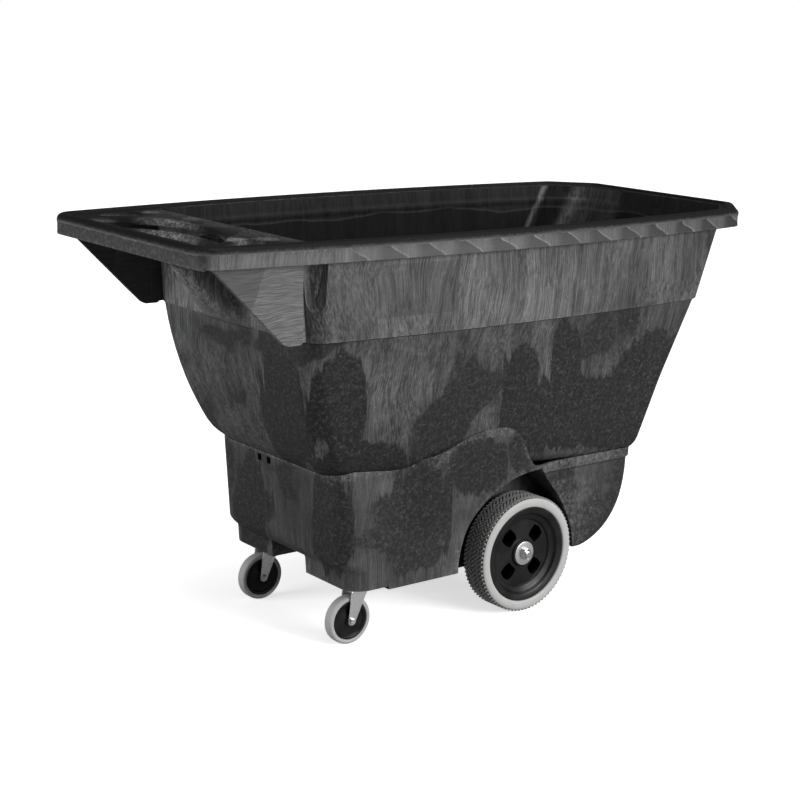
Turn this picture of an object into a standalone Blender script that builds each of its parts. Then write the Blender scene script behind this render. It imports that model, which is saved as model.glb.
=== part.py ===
"""A half-cubic-yard tilt truck: a moulded hopper on a moulded base, two large wheels and two swivel casters.

Metres, +Z up. X runs along the truck from the handle end (-X) to the pour end (+X), and the origin lies on the
floor under the middle of its box. Lengths along the truck are given as distances from the handle bar's outer edge.
"""

import math

import bmesh
import bpy
from mathutils import Matrix, Vector

# Driving dimensions.
LENGTH = 1.638
HEIGHT = 0.970
HALF_WIDTH = 0.3925
GAP = 0.0003

# Hopper.
RIM_DEPTH = 0.046
SKIRT = 0.007
WALL = 0.008
BOW = 0.0591
BOW_CENTRE = 0.8736
WALL_INSET = 0.030
DECK_END = 0.255
DECK_TOP = HEIGHT - 0.006
DECK_UNDERSIDE = HEIGHT - 0.022
CREASE_HEIGHT = 0.748
CREASE_STEP = 0.008
FLOOR_UNDERSIDE = 0.378
FLOOR_TILT = 0.055
POUR_SLOPE = 0.423
BOLT_SPOTS = ((0.590, 0.085), (1.160, 0.085))

# Base.
BASE_WALL = 0.006
BASE_HALF_WIDTH = 0.255
BASE_BOTTOM = 0.137
KEEL_BOTTOM = 0.108
KEEL_HALF_WIDTH = 0.164
RECESS_INNER = 0.165
NOSE_LIP = 0.004
ARCH_RADIUS = 0.218

# Large wheels.
WHEEL_RADIUS = 0.1445
WHEEL_WIDTH = 0.076
WHEEL_PLACE = 0.969
WHEEL_OFFSET = 0.2195
AXLE_RADIUS = 0.0095
HUB_RADIUS = 0.118
WHEEL_SEGMENTS = 26

# Casters.
CASTER_RADIUS = 0.0575
CASTER_WIDTH = 0.0275
CASTER_TRAIL = 0.027
CASTER_PLACE = 0.507
CASTER_OFFSET = 0.184
POD_BOTTOM = 0.145
CASTER_SEGMENTS = 20

SIDES = (("near", -1), ("far", 1))

# The thin shells, where the exact Boolean solver leaves open slivers.
THIN_WALLED = ("hopper", "base_shell", "cutter_cavity", "join_pocket_shell")


def station(distance):
    """The x of a point this far from the handle bar's outer edge."""
    return distance - LENGTH / 2


def bow(distance):
    """How far the bowed sides have come in at this distance from the handle end."""
    return BOW * ((distance - BOW_CENTRE) / (LENGTH / 2)) ** 2


# Objects, materials and Boolean helpers


def material(name, colour, roughness, metallic=0.0):
    made = bpy.data.materials.new(name)
    made.use_nodes = True
    shader = made.node_tree.nodes["Principled BSDF"]
    shader.inputs["Base Color"].default_value = (*colour, 1.0)
    shader.inputs["Roughness"].default_value = roughness
    shader.inputs["Metallic"].default_value = metallic
    return made


def add_object(name, mesh, look, location=(0, 0, 0), parent=None):
    thing = bpy.data.objects.new(name, mesh)
    bpy.context.scene.collection.objects.link(thing)
    if look and not mesh.materials:
        mesh.materials.append(look)
    thing.parent = parent
    thing.location = location
    return thing


def add_empty(name, location, parent=None):
    empty = bpy.data.objects.new(name, None)
    empty.empty_display_size = 0.05
    bpy.context.scene.collection.objects.link(empty)
    empty.parent = parent
    empty.location = location
    return empty


def finished_mesh(name, shape, smooth_angle=35):
    mesh = bpy.data.meshes.new(name)
    shape.to_mesh(mesh)
    shape.free()
    mesh.shade_smooth()
    mesh.set_sharp_from_angle(angle=math.radians(smooth_angle))
    return mesh


def helper_object(name, shape):
    """A cutter or a piece to be joined on, which is no part of its own."""
    thing = add_object(name, finished_mesh(name, shape), None)
    thing.hide_render = True
    thing.display_type = "WIRE"
    return thing


def combine(target, other, operation):
    modifier = target.modifiers.new(operation.title() + "_" + other.name, "BOOLEAN")
    modifier.operation = operation
    modifier.object = other
    modifier.solver = "MANIFOLD" if target.name in THIN_WALLED else "EXACT"


def cut(target, *cutters):
    for cutter in cutters:
        combine(target, cutter, "DIFFERENCE")


def join(target, *pieces):
    for piece in pieces:
        combine(target, piece, "UNION")


# Shape makers


def add_ring(shape, points):
    return [shape.verts.new(point) for point in points]


def bridge(shape, first, second):
    pairs = zip(first, first[1:] + first[:1], second[1:] + second[:1], second)
    return [shape.faces.new(corners) for corners in pairs]


def volume_inside(faces):
    """The signed volume that a closed set of faces holds: negative where they point inwards."""
    total = 0.0
    for face in faces:
        spots = [vert.co for vert in face.verts]
        for second, third in zip(spots[1:], spots[2:]):
            total += spots[0].dot(second.cross(third)) / 6
    return total


def loft(shape, rings, closed_loop=False):
    """A solid skin over rings of equal counts, with flat ends unless the last ring joins the first."""
    made = [add_ring(shape, ring) for ring in rings]
    faces = []
    for first, second in zip(made, made[1:]):
        faces += bridge(shape, first, second)
    if closed_loop:
        faces += bridge(shape, made[-1], made[0])
    else:
        faces += [shape.faces.new(made[0][::-1]), shape.faces.new(made[-1])]
    if volume_inside(faces) < 0:
        bmesh.ops.reverse_faces(shape, faces=faces)


def circle(radius, count, turn=0.0):
    angles = [2 * math.pi * i / count + turn for i in range(count)]
    return [(radius * math.cos(angle), radius * math.sin(angle)) for angle in angles]


def hexagon(across_flats, count=12):
    """A hexagon's outline with a point on each corner and at the middle of each side."""
    outline = []
    for i in range(count):
        radius = across_flats / 2 if i % 2 else across_flats / math.sqrt(3)
        angle = 2 * math.pi * i / count
        outline.append((radius * math.cos(angle), radius * math.sin(angle)))
    return outline


def along_y(outline, y):
    return [(x, y, z) for x, z in outline]


def along_z(outline, z):
    return [(x, y, z) for x, y in outline]


def prism_y(shape, outline, low, high):
    loft(shape, [along_y(outline, low), along_y(outline, high)])


def prism_z(shape, outline, low, high):
    loft(shape, [along_z(outline, low), along_z(outline, high)])


def box(shape, low, high):
    outline = [(low[0], low[1]), (high[0], low[1]), (high[0], high[1]), (low[0], high[1])]
    prism_z(shape, outline, low[2], high[2])


def arc(centre, radius, start, end, count):
    """Points on an arc from one angle to another, in degrees."""
    angles = [math.radians(start + (end - start) * i / (count - 1)) for i in range(count)]
    return [(centre[0] + radius * math.cos(a), centre[1] + radius * math.sin(a)) for a in angles]


def turned(name, profile, segments, layer=along_y):
    """A ring turned about Y, or about Z with layer=along_z, from a closed profile of (radius, place) points."""
    shape = bmesh.new()
    loft(shape, [layer(circle(radius, segments), place) for radius, place in profile], True)
    return finished_mesh(name, shape)


def bolt_mesh(name, across_flats, head, shank_radius, shank, layer):
    """A hex bolt: its head rises from 0 and its shank goes down."""
    shape = bmesh.new()
    rings = [
        layer(hexagon(across_flats), head),
        layer(hexagon(across_flats), 0),
        layer(circle(shank_radius, 12), 0),
        layer(circle(shank_radius, 12), -shank),
    ]
    loft(shape, rings)
    return finished_mesh(name, shape)


def nut_mesh(name, across_flats, bore, thickness):
    """A hex nut about Y, from y = 0 to its thickness."""
    shape = bmesh.new()
    chamfer = 0.12 * across_flats
    rings = [
        along_y(hexagon(across_flats), 0),
        along_y(hexagon(across_flats), thickness - 0.3 * chamfer),
        along_y(hexagon(across_flats - chamfer), thickness),
        along_y(circle(bore, 12), thickness),
        along_y(circle(bore, 12), 0),
    ]
    loft(shape, rings, True)
    return finished_mesh(name, shape)


# Hopper


def plan_outline(start, end, side, corner, chamfer, end_half):
    """A plan outline, square at the handle end with round corners and chamfered at the pour end.

    side gives the half width at a distance from the handle end, chamfer is how far each pour corner is cut
    along X, and end_half is half the width left at the pour end. It is a closed list of (x, y) points.
    """
    corner_width = side(start + corner)
    half = [(start, 0.0), (start, 0.45 * corner_width)]
    half += arc((start + corner, corner_width - corner), corner, 180, 90, 6)
    side_end = end - chamfer
    for i in range(1, 7):
        distance = start + corner + (side_end - start - corner) * i / 7
        half.append((distance, side(distance)))
    wide = side(side_end)
    cut_width = wide - end_half
    for along, across in ((-0.16, 0.0), (0.10, 0.09), (0.90, 0.90), (1.0, 1.10)):
        half.append((side_end + along * chamfer, wide - across * cut_width))
    half.append((end, 0.0))
    outline = [(station(x), y) for x, y in half]
    return outline + [(x, -y) for x, y in outline[-2:0:-1]]


def handle_wall(height):
    """How far from the handle end the hopper's handle-end wall stands at this height."""
    below = max(0.0, 0.75 - height)
    return DECK_END + 0.075 * min(0.22, HEIGHT - height) + 0.055 * below + 0.83 * below ** 2


def side_wall(height):
    """The hopper's half width amidships at this height, above the rounded belly."""
    top = HALF_WIDTH - WALL_INSET
    if height > CREASE_HEIGHT:
        return top - 0.04 * (HEIGHT - height)
    return top - 0.04 * (HEIGHT - CREASE_HEIGHT) - CREASE_STEP - 0.185 * (CREASE_HEIGHT - height)


def tuck(height, radius):
    """How far a wall has come in where it rounds into the floor."""
    short = radius - max(0.0, height - FLOOR_UNDERSIDE)
    if short <= 0:
        return 0.0
    return radius - math.sqrt(radius ** 2 - min(short, 0.998 * radius) ** 2)


def hopper_ring(height, inset=0.0, above=None):
    """The hopper's plan outline at this height, this far inside its outer face."""
    level = height if above is None else above
    belly_depth = level - FLOOR_UNDERSIDE
    fade = min(1.0, max(0.0, 1 - belly_depth / 0.17))
    start = handle_wall(level + 0.42 * FLOOR_TILT * fade) + tuck(level, 0.062) + inset
    end = LENGTH - 0.029 - POUR_SLOPE * (DECK_UNDERSIDE - level) - tuck(level, 0.035) - 1.1 * inset

    def side(distance):
        radius = 0.085 - 0.045 * min(1.0, max(0.0, (distance - 0.50) / 0.80))
        return side_wall(level) - bow(distance) - tuck(level, radius) - inset

    chamfer = 0.066 + 0.042 * belly_depth / (HEIGHT - FLOOR_UNDERSIDE)
    end_half = 0.2376 - 0.0646 * (DECK_UNDERSIDE - level) - 0.6 * tuck(level, 0.035) - 0.5 * inset
    outline = plan_outline(start, end, side, 0.052 - 0.3 * inset, chamfer, end_half)
    return [(x, y, height - FLOOR_TILT * fade * x) for x, y in outline]


def rim_ring(height, inset, opening=False):
    """The rim's plan outline, or with opening=True the edge of the hopper's mouth inside the deck."""
    start = DECK_END + 0.014 if opening else inset
    corner = 0.045 if opening else max(0.02, 0.058 - inset)

    def side(distance):
        return HALF_WIDTH - bow(distance) - inset

    outline = plan_outline(start, LENGTH - inset, side, corner, 0.097, 0.250 - 0.41 * inset)
    return along_z(outline, height)


WALL_LIFTS = (0.0, 0.004, 0.013, 0.028, 0.050, 0.090, 0.155, 0.225, 0.295)
WALL_HEIGHTS = tuple(FLOOR_UNDERSIDE + lift for lift in WALL_LIFTS) + (CREASE_HEIGHT - 0.003,)
LOW_LIFT = FLOOR_UNDERSIDE + 0.040


def outer_hopper_rings(grow=0.0):
    """The hopper's outer wall from its floor up, grown outwards by a clearance."""
    rings = []
    for height in WALL_HEIGHTS:
        lowered = height - grow if height < LOW_LIFT else height
        rings.append(hopper_ring(lowered, -grow, above=height))
    rings.append(hopper_ring(CREASE_HEIGHT + 0.003, -grow))
    rings.append(hopper_ring(DECK_UNDERSIDE, -grow))
    return rings


def inner_wall_rings():
    """The hopper's inner face from its floor up to the crease."""
    rings = []
    for height in WALL_HEIGHTS:
        rings.append(hopper_ring(height + WALL if height < LOW_LIFT else height, WALL, above=height))
    return rings


def hopper_mesh():
    rim_bottom = HEIGHT - RIM_DEPTH
    rings = outer_hopper_rings()
    rings += [
        rim_ring(DECK_UNDERSIDE, SKIRT),
        rim_ring(rim_bottom, SKIRT - 0.001),
        rim_ring(rim_bottom, 0.0012),
        rim_ring(rim_bottom + 0.006, 0.0),
        rim_ring(HEIGHT - 0.014, 0.0),
        rim_ring(HEIGHT - 0.005, 0.004),
        rim_ring(HEIGHT, 0.013),
        rim_ring(HEIGHT, 0.024),
        rim_ring(DECK_TOP, 0.031),
        rim_ring(DECK_TOP, 0.036, opening=True),
        hopper_ring(HEIGHT - 0.040, WALL),
        hopper_ring(HEIGHT - 0.046, WALL + 0.004),
    ]
    shape = bmesh.new()
    loft(shape, rings + inner_wall_rings()[::-1])
    return finished_mesh("hopper", shape, 28)


# Where the hand well's lower edge runs on one side: a turn round the D opening in degrees, then x, y and z.
WELL_EDGE = (
    (0, 0.130, 0.000, 0.884), (14, 0.130, 0.040, 0.884), (30, 0.127, 0.082, 0.886), (45, 0.120, 0.120, 0.889),
    (60, 0.111, 0.155, 0.893), (72, 0.099, 0.182, 0.898), (82, 0.086, 0.200, 0.903),
)
# The snout under the hand well, upwards: its height, the x of its front and its half width.
SNOUT_SECTIONS = (
    (0.744, 0.268, 0.100), (0.752, 0.252, 0.098), (0.765, 0.230, 0.092), (0.785, 0.205, 0.080),
    (0.812, 0.182, 0.066), (0.845, 0.156, 0.050), (0.884, 0.126, 0.036), (0.912, 0.140, 0.030),
    (0.940, 0.180, 0.028),
)


def well_section(turn, x, y, z):
    """A section through the hand well's wall, from the D opening's edge down to its lower edge."""
    angle = math.radians(turn)
    top = Vector((0.050 + 0.156 * math.cos(angle), 0.254 * math.sin(angle), DECK_UNDERSIDE + 0.007))
    foot = Vector((x, y, z))
    middle = Vector((top.x + 0.22 * (x - top.x), top.y + 0.10 * (y - top.y), top.z + 0.58 * (z - top.z)))
    line = []
    for i in range(5):
        t = i / 4
        line.append((1 - t) ** 2 * top + 2 * t * (1 - t) * middle + t * t * foot)
    inward = Vector((-math.cos(angle), -math.sin(angle), 0.55)).normalized() * 0.006
    section = line + [spot + inward for spot in line[::-1]]
    return [(station(spot.x), spot.y, min(spot.z, DECK_UNDERSIDE + 0.007)) for spot in section]


def hand_well(name):
    """The bowl-like wall that hangs from the D opening's curved edge and runs back into the handle-end wall."""
    far_half = [well_section(*row) for row in WELL_EDGE]
    near_half = [well_section(-turn, x, -y, z) for turn, x, y, z in WELL_EDGE[:0:-1]]
    shape = bmesh.new()
    loft(shape, near_half + far_half)
    return helper_object(name, shape)


def snout_curve(steps):
    """The snout's plan from the near side to the far one: (place across, share of its depth) with a hollow foot."""
    crown = []
    for i in range(-steps, steps + 1):
        angle = math.radians(68 * i / steps)
        crown.append((math.sin(angle), math.cos(angle) ** 0.8))
    foot = [(1.03, 0.22), (1.18, 0.06), (1.40, 0.0)]
    return [(-across, swell) for across, swell in foot[::-1]] + crown + foot


def snout(name, inset, back):
    """The blunt nose that carries the hand well, growing out of the handle-end wall and narrowing upwards."""
    shape = bmesh.new()
    rings = []
    for height, front, half in SNOUT_SECTIONS:
        depth = back - front - inset
        ring = []
        for across, swell in snout_curve(3):
            ring.append((station(back - max(depth, 0.004) * swell), (half - inset) * across))
        rings.append(along_z(ring, height + inset * (1.0 if height < 0.85 else -0.6)))
    loft(shape, rings)
    return helper_object(name, shape)


def deck_cutters():
    """The openings in the deck: a D for the hands, and a smaller one on each side of it."""
    shape = bmesh.new()
    low = DECK_UNDERSIDE - 0.003
    high = HEIGHT + 0.05
    outline = [(0.046, 0.236), (0.046, -0.236)]
    for i in range(-7, 8):
        turn = math.radians(11.2 * i)
        outline.append((0.046 + 0.154 * math.cos(turn), 0.246 * math.sin(turn)))
    prism_z(shape, [(station(x), y) for x, y in outline], low, high)
    for _, side in SIDES:
        ring = arc((0.122, 0.004), 0.026, 90, 270, 5) + arc((0.165, -0.010), 0.030, 270, 450, 5)
        hole = [(station(x), side * (0.268 + y)) for x, y in ring]
        prism_z(shape, hole, low, high)
        for place, across in ((0.222, 0.262), (0.228, 0.288)):
            dots = [(station(place) + x, side * across + y) for x, y in circle(0.0032, 8)]
            prism_z(shape, dots, low, high)
    return helper_object("cutter_deck", shape)


def scoop(name, grow):
    """The pocket scooped out of each handle-end corner under the deck: a capsule standing on its round end."""
    shape = bmesh.new()
    radius = 0.050 + grow
    centre_height = 0.840
    for _, side in SIDES:
        rings = []
        for angle in (-82, -55, -28, 0):
            level = math.radians(angle)
            ring = circle(radius * math.cos(level), 16)
            spot = [(station(0.258) + x, side * min(0.349 + y, 0.3395)) for x, y in ring]
            rings.append(along_z(spot, centre_height + radius * math.sin(level)))
        rings.append([(x, y, 0.926 + grow) for x, y, z in rings[-1]])
        loft(shape, rings)
    return helper_object(name, shape)


def gussets():
    """The plate that hangs from the rim on each side, ahead of the hopper's corner."""
    shape = bmesh.new()
    top = DECK_UNDERSIDE + 0.006
    outline = [(0.043, top), (0.043, 0.920), (0.183, 0.782), (0.2154, 0.751)]
    outline += [(0.224, 0.7465), (0.2645, 0.745), (0.2645, top)]
    placed = [(station(x), z) for x, z in outline]
    for _, side in SIDES:
        low, high = sorted((side * 0.291, side * 0.302))
        prism_y(shape, placed, low, high)
    return helper_object("join_gussets", shape)


def gusset_roots():
    """The thinner strip that ties each gusset's upright edge into the hopper's wall."""
    shape = bmesh.new()
    top = DECK_UNDERSIDE + 0.004
    outline = [(0.242, 0.7505), (0.2775, 0.7505), (0.2775, top), (0.242, top)]
    placed = [(station(x), z) for x, z in outline]
    for _, side in SIDES:
        low, high = sorted((side * 0.2897, side * 0.2964))
        prism_y(shape, placed, low, high)
    return helper_object("join_gusset_roots", shape)


def make_hopper(look, bolt_holes):
    hopper = add_object("hopper", hopper_mesh(), look)
    void_shape = bmesh.new()
    loft(void_shape, inner_wall_rings() + [hopper_ring(DECK_UNDERSIDE - 0.010, WALL)])
    pocket_shell = scoop("join_pocket_shell", WALL)
    inside = helper_object("keep_inside", void_shape)
    combine(pocket_shell, inside, "INTERSECT")
    pocket = scoop("cutter_pocket", 0.0)
    join(hopper, pocket_shell)
    cut(hopper, pocket)
    join(hopper, gussets(), gusset_roots())
    join(hopper, snout("join_snout", 0.0, DECK_END + 0.019), hand_well("join_hand_well"))
    cut(hopper, snout("cutter_snout_inside", 0.006, DECK_END + 0.040))
    cut(hopper, deck_cutters(), bolt_holes)
    return hopper


# Base


def base_end_wall(level):
    """How far from the handle end the base's handle-end wall stands: it steps in near its lower edge."""
    step = min(1.0, max(0.0, (0.215 - level) / 0.027))
    return 0.3985 + 0.085 * max(0.0, 0.41 - level) + 0.021 * step ** 1.5


def nose_lip(distance, level):
    """How far the rolled lip round the nose's upper edge stands out."""
    rise = min(1.0, max(0.0, (level - 0.342) / 0.004))
    reach = min(1.0, max(0.0, (distance - 0.95) / 0.02))
    return NOSE_LIP * rise * reach


def base_nose(level):
    """How far from the handle end the base's round nose reaches at this height."""
    rise = min(1.0, max(0.0, (level - BASE_BOTTOM + 0.004) / 0.20))
    bulge = 0.171 * math.sqrt(1 - (1 - rise) ** 2.3)
    return 1.148 + bulge + 0.03 * max(0.0, level - 0.28) + nose_lip(1.2, level)


def base_side(distance, level):
    """The base's half width: its sides flare out over the space ahead of the large wheels."""
    rising = min(1.0, max(0.0, (distance - 0.54) / 0.12))
    falling = min(1.0, max(0.0, (1.03 - distance) / 0.08))
    lift = rising * rising * (3 - 2 * rising) * falling
    return BASE_HALF_WIDTH + 0.048 * lift * max(0.0, (level - 0.25) / 0.25) + nose_lip(distance, level)


def base_ring(height, inset=0.0, at=None):
    """The base's plan outline at this height, this far inside its outer face."""
    level = height if at is None else at
    start = base_end_wall(level) + inset
    end = base_nose(level) - inset
    corner = 0.050 - 0.5 * inset
    half = [(start, 0.0)]
    half += arc((start + corner, BASE_HALF_WIDTH - inset - corner), corner, 180, 90, 5)
    for distance in (0.54, 0.58, 0.62, 0.66, 0.80, 0.95, 1.03):
        half.append((distance, base_side(distance, level) - inset))
    wide = BASE_HALF_WIDTH + nose_lip(end, level) - inset
    half += arc((end - corner, wide - corner), corner, 90, 0, 5)
    half.append((end, 0.0))
    outline = [(station(x), y) for x, y in half]
    return along_z(outline + [(x, -y) for x, y in outline[-2:0:-1]], height)


BASE_HEIGHTS = (BASE_BOTTOM, 0.140, 0.152, 0.188, 0.215, 0.26, 0.341, 0.347, 0.41, 0.52)


def keel(shape, inset):
    box(
        shape,
        (station(0.60 + inset), -KEEL_HALF_WIDTH + inset, KEEL_BOTTOM + inset),
        (station(1.045 - inset), KEEL_HALF_WIDTH - inset, 0.20),
    )


def recess(name, grow):
    """The space round each large wheel: an arch about the axle, with a straighter end towards the nose."""
    shape = bmesh.new()
    radius = ARCH_RADIUS + grow
    outline = [(WHEEL_PLACE - radius, 0.06)]
    outline += arc((WHEEL_PLACE, WHEEL_RADIUS), radius, 180, 84, 12)
    outline += [(x + grow, z + 0.6 * grow) for x, z in ((1.012, 0.342), (1.034, 0.316), (1.058, 0.288))]
    lower = ((1.079, 0.256), (1.098, 0.222), (1.113, 0.185), (1.119, 0.150), (1.119, 0.06))
    outline += [(x + grow, z) for x, z in lower]
    placed = [(station(x), z) for x, z in outline]
    for _, side in SIDES:
        low, high = sorted((side * (RECESS_INNER - grow), side * 0.40))
        prism_y(shape, placed, low, high)
    return helper_object(name, shape)


def notch(name, grow):
    """The shallow recess in the lower edge of the base's handle-end wall, between the caster pods."""
    shape = bmesh.new()
    reach = station(0.530 + grow)
    outline = [(station(0.36), -0.070 - grow), (reach - 0.006, -0.070 - grow), (reach, -0.060 - grow)]
    outline += [(reach, 0.060 + grow), (reach - 0.006, 0.070 + grow), (station(0.36), 0.070 + grow)]
    prism_z(shape, outline, 0.05, 0.189 + grow)
    return helper_object(name, shape)


def base_top_cutter():
    """Everything above the base's upper edge, which is lower round the nose and rises ahead of the wheels."""
    shape = bmesh.new()
    outline = [(0.30, 0.80), (0.30, 0.448), (0.50, 0.444), (0.56, 0.438), (0.62, 0.442), (0.68, 0.460)]
    outline += [(0.75, 0.486), (0.83, 0.492), (0.88, 0.474), (0.92, 0.430), (0.95, 0.3855), (0.985, 0.3712)]
    outline += [(1.40, 0.3704), (1.40, 0.80)]
    prism_y(shape, [(station(x), z) for x, z in outline], -0.45, 0.45)
    return helper_object("cutter_base_top", shape)


def posts():
    shape = bmesh.new()
    for place, across in BOLT_SPOTS:
        for _, side in SIDES:
            ring = [(station(place) + x, side * across + y) for x, y in circle(0.020, 12)]
            prism_z(shape, ring, 0.10, 0.60)
    return helper_object("keep_posts", shape)


def pod_floor():
    shape = bmesh.new()
    box(shape, (station(0.30), -0.40, 0.05), (station(0.578), 0.40, POD_BOTTOM + 0.012))
    return helper_object("keep_pod_floor", shape)


def pod_relief():
    shape = bmesh.new()
    box(shape, (station(0.30), -0.40, 0.05), (station(0.545), 0.40, POD_BOTTOM))
    return helper_object("cutter_pod_relief", shape)


def vent_slots():
    """Two small slots in the handle-end wall, just under the hopper."""
    shape = bmesh.new()
    for place in (0.020, 0.058):
        box(shape, (station(0.38), place, 0.392), (station(0.43), place + 0.016, 0.409))
    return helper_object("cutter_vent_slots", shape)


def bore_y(name, radius, reach):
    shape = bmesh.new()
    outline = [(station(WHEEL_PLACE) + x, WHEEL_RADIUS + z) for x, z in circle(radius, 16)]
    prism_y(shape, outline, -reach, reach)
    return helper_object(name, shape)


def hole_cluster(name, spots, radius, low, high):
    shape = bmesh.new()
    for x, y in spots:
        prism_z(shape, [(x + dx, y + dy) for dx, dy in circle(radius, 8)], low, high)
    return helper_object(name, shape)


def make_base(look, bolt_holes, caster_holes):
    outer = bmesh.new()
    loft(outer, [base_ring(height) for height in BASE_HEIGHTS])
    base = add_object("base_shell", finished_mesh("base_shell", outer), look)
    keel_shape = bmesh.new()
    keel(keel_shape, 0.0)
    join(base, helper_object("join_keel", keel_shape))

    inner = bmesh.new()
    rings = []
    for level in BASE_HEIGHTS:
        rings.append(base_ring(level + BASE_WALL if level < 0.16 else level, BASE_WALL, at=level))
    loft(inner, rings + [base_ring(0.62, BASE_WALL, at=BASE_HEIGHTS[-1])])
    cavity = helper_object("cutter_cavity", inner)
    keel_inside = bmesh.new()
    keel(keel_inside, BASE_WALL)
    join(cavity, helper_object("join_keel_inside", keel_inside))
    cut(cavity, recess("keep_recess_walls", BASE_WALL), notch("keep_notch_walls", BASE_WALL))
    cut(cavity, posts(), pod_floor())

    cut(base, cavity, recess("cutter_recess", 0.0), notch("cutter_notch", 0.0), pod_relief())
    tub = bmesh.new()
    loft(tub, outer_hopper_rings(grow=0.0008))
    cut(base, base_top_cutter(), helper_object("cutter_hopper_seat", tub))
    cut(base, vent_slots(), bore_y("cutter_axle_bore", 0.0143, 0.24), bolt_holes, caster_holes)
    return base


# Wheels


def hub_profile():
    """The hub's section as (radius, place across the wheel), place growing towards the outer face."""
    outer_side = [
        (0.0143, 0.0235), (0.031, 0.0235), (0.035, 0.0175), (0.082, 0.0145), (0.089, 0.0205),
        (0.099, 0.0240), (0.104, 0.0310), (0.1165, 0.0340), (HUB_RADIUS, 0.0320),
    ]
    inner_side = [
        (HUB_RADIUS, -0.0320), (0.1165, -0.0340), (0.1075, -0.0340), (0.1030, 0.0030), (0.0800, 0.0050),
        (0.0360, 0.0070), (0.0320, -0.0360), (0.0143, -0.0360),
    ]
    return outer_side + inner_side


def tyre_profile(radius, bore, width, shoulder):
    """A solid tyre's section: a nearly flat tread with round shoulders."""
    half = width / 2
    outside = arc((radius - shoulder, half - shoulder), shoulder, 90, 0, 4)
    section = [(bore, half - 0.002)] + outside
    mirrored = [(r, -place) for r, place in section[::-1]]
    return section + mirrored


def hub_windows():
    """Four tapered windows through the hub's web, on the diagonals."""
    shape = bmesh.new()
    for quarter in range(4):
        middle = math.radians(45 + 90 * quarter)
        outline = []
        corners = [(0.043, -0.34), (0.070, -0.32), (0.076, -0.24), (0.076, 0.24), (0.070, 0.32), (0.043, 0.34)]
        for radius, spread in corners:
            outline.append((radius * math.cos(middle + spread), radius * math.sin(middle + spread)))
        prism_y(shape, outline, -0.010, 0.030)
    return shape


def mirrored_for(mesh, side, name):
    """A copy of a mesh made for the far side, turned over for the near side."""
    if side > 0:
        return mesh
    copy = mesh.copy()
    copy.name = name
    shape = bmesh.new()
    shape.from_mesh(copy)
    bmesh.ops.scale(shape, vec=Vector((1, -1, 1)), verts=shape.verts)
    bmesh.ops.reverse_faces(shape, faces=shape.faces)
    shape.to_mesh(copy)
    shape.free()
    return copy


def make_wheel(side_name, side, looks):
    centre = (station(WHEEL_PLACE), side * WHEEL_OFFSET, WHEEL_RADIUS)
    pivot = add_empty("wheel_axis_" + side_name, centre)

    def add(name, mesh, look):
        full = name + "_" + side_name
        return add_object(full, mirrored_for(mesh, side, full), look, parent=pivot)

    hub = add("wheel_hub", turned("wheel_hub", hub_profile(), WHEEL_SEGMENTS), looks["hub"])
    windows = helper_object("cutter_windows_" + side_name, hub_windows())
    windows.parent = pivot
    windows.location = (0, 0, 0) if side > 0 else (0, -0.020, 0)
    cut(hub, windows)
    tyre = tyre_profile(WHEEL_RADIUS, HUB_RADIUS + GAP, WHEEL_WIDTH, 0.012)
    add("wheel_tyre", turned("wheel_tyre", tyre, WHEEL_SEGMENTS), looks["tyre"])
    for name, low, high in (("bearing_inner", -0.0358, -0.0140), ("bearing_outer", 0.0020, 0.0233)):
        profile = [(AXLE_RADIUS + GAP, low), (AXLE_RADIUS + GAP, high), (0.0140, high), (0.0140, low)]
        add(name, turned(name, profile, 12), looks["bush"])
    spacer = [(0.0099, -0.0525), (0.0099, -0.0365), (0.0145, -0.0365), (0.0145, -0.0525)]
    add("wheel_spacer", turned("wheel_spacer", spacer, 12), looks["zinc"])
    washer = [(0.0099, 0.0240), (0.0099, 0.0266), (0.0285, 0.0266), (0.0295, 0.0256), (0.0295, 0.0240)]
    add("axle_washer", turned("axle_washer", washer, 18), looks["zinc"])
    nut = nut_mesh("axle_nut", 0.027, 0.0099, 0.0110)
    nut.transform(Matrix.Translation((0, 0.0270, 0)))
    add("axle_nut", nut, looks["zinc"])


def make_axle(looks):
    shape = bmesh.new()
    reach = WHEEL_OFFSET + 0.0425
    rings = []
    ends = [(0.0080, -reach), (AXLE_RADIUS, 0.002 - reach), (AXLE_RADIUS, reach - 0.002), (0.0080, reach)]
    for radius, y in ends:
        rings.append(along_y(circle(radius, 12), y))
    loft(shape, rings)
    centre = (station(WHEEL_PLACE), 0, WHEEL_RADIUS)
    add_object("axle", finished_mesh("axle", shape), looks["steel"], centre)
    for side_name, side in SIDES:
        flange = RECESS_INNER + 0.0006
        profile = [
            (0.0099, 0.150), (0.0099, flange + 0.0012), (0.0220, flange + 0.0012), (0.0220, flange),
            (0.0140, flange), (0.0140, 0.150),
        ]
        name = "axle_bush_" + side_name
        mesh = mirrored_for(turned(name, profile, 12), side, name)
        add_object(name, mesh, looks["bush"], centre)


# Casters


CASTER_PLATE_HALF = (0.0370, 0.0300)
CASTER_BOLT_SPOTS = ((-0.0285, -0.0215), (-0.0285, 0.0215), (0.0285, -0.0215), (0.0285, 0.0215))
PLATE_TOP = POD_BOTTOM - GAP
PLATE_BOTTOM = PLATE_TOP - 0.003
RACE_BOTTOM = PLATE_BOTTOM - 0.0094
FORK_TOP = RACE_BOTTOM - GAP
FORK_GAUGE = 0.003
FORK_INNER = 0.0165


def round_outline(half_x, half_y, radius):
    outline = []
    for sign_x, sign_y, start in ((1, 1, 0), (-1, 1, 90), (-1, -1, 180), (1, -1, 270)):
        centre = (sign_x * (half_x - radius), sign_y * (half_y - radius))
        outline += arc(centre, radius, start, start + 90, 4)
    return outline


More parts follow.
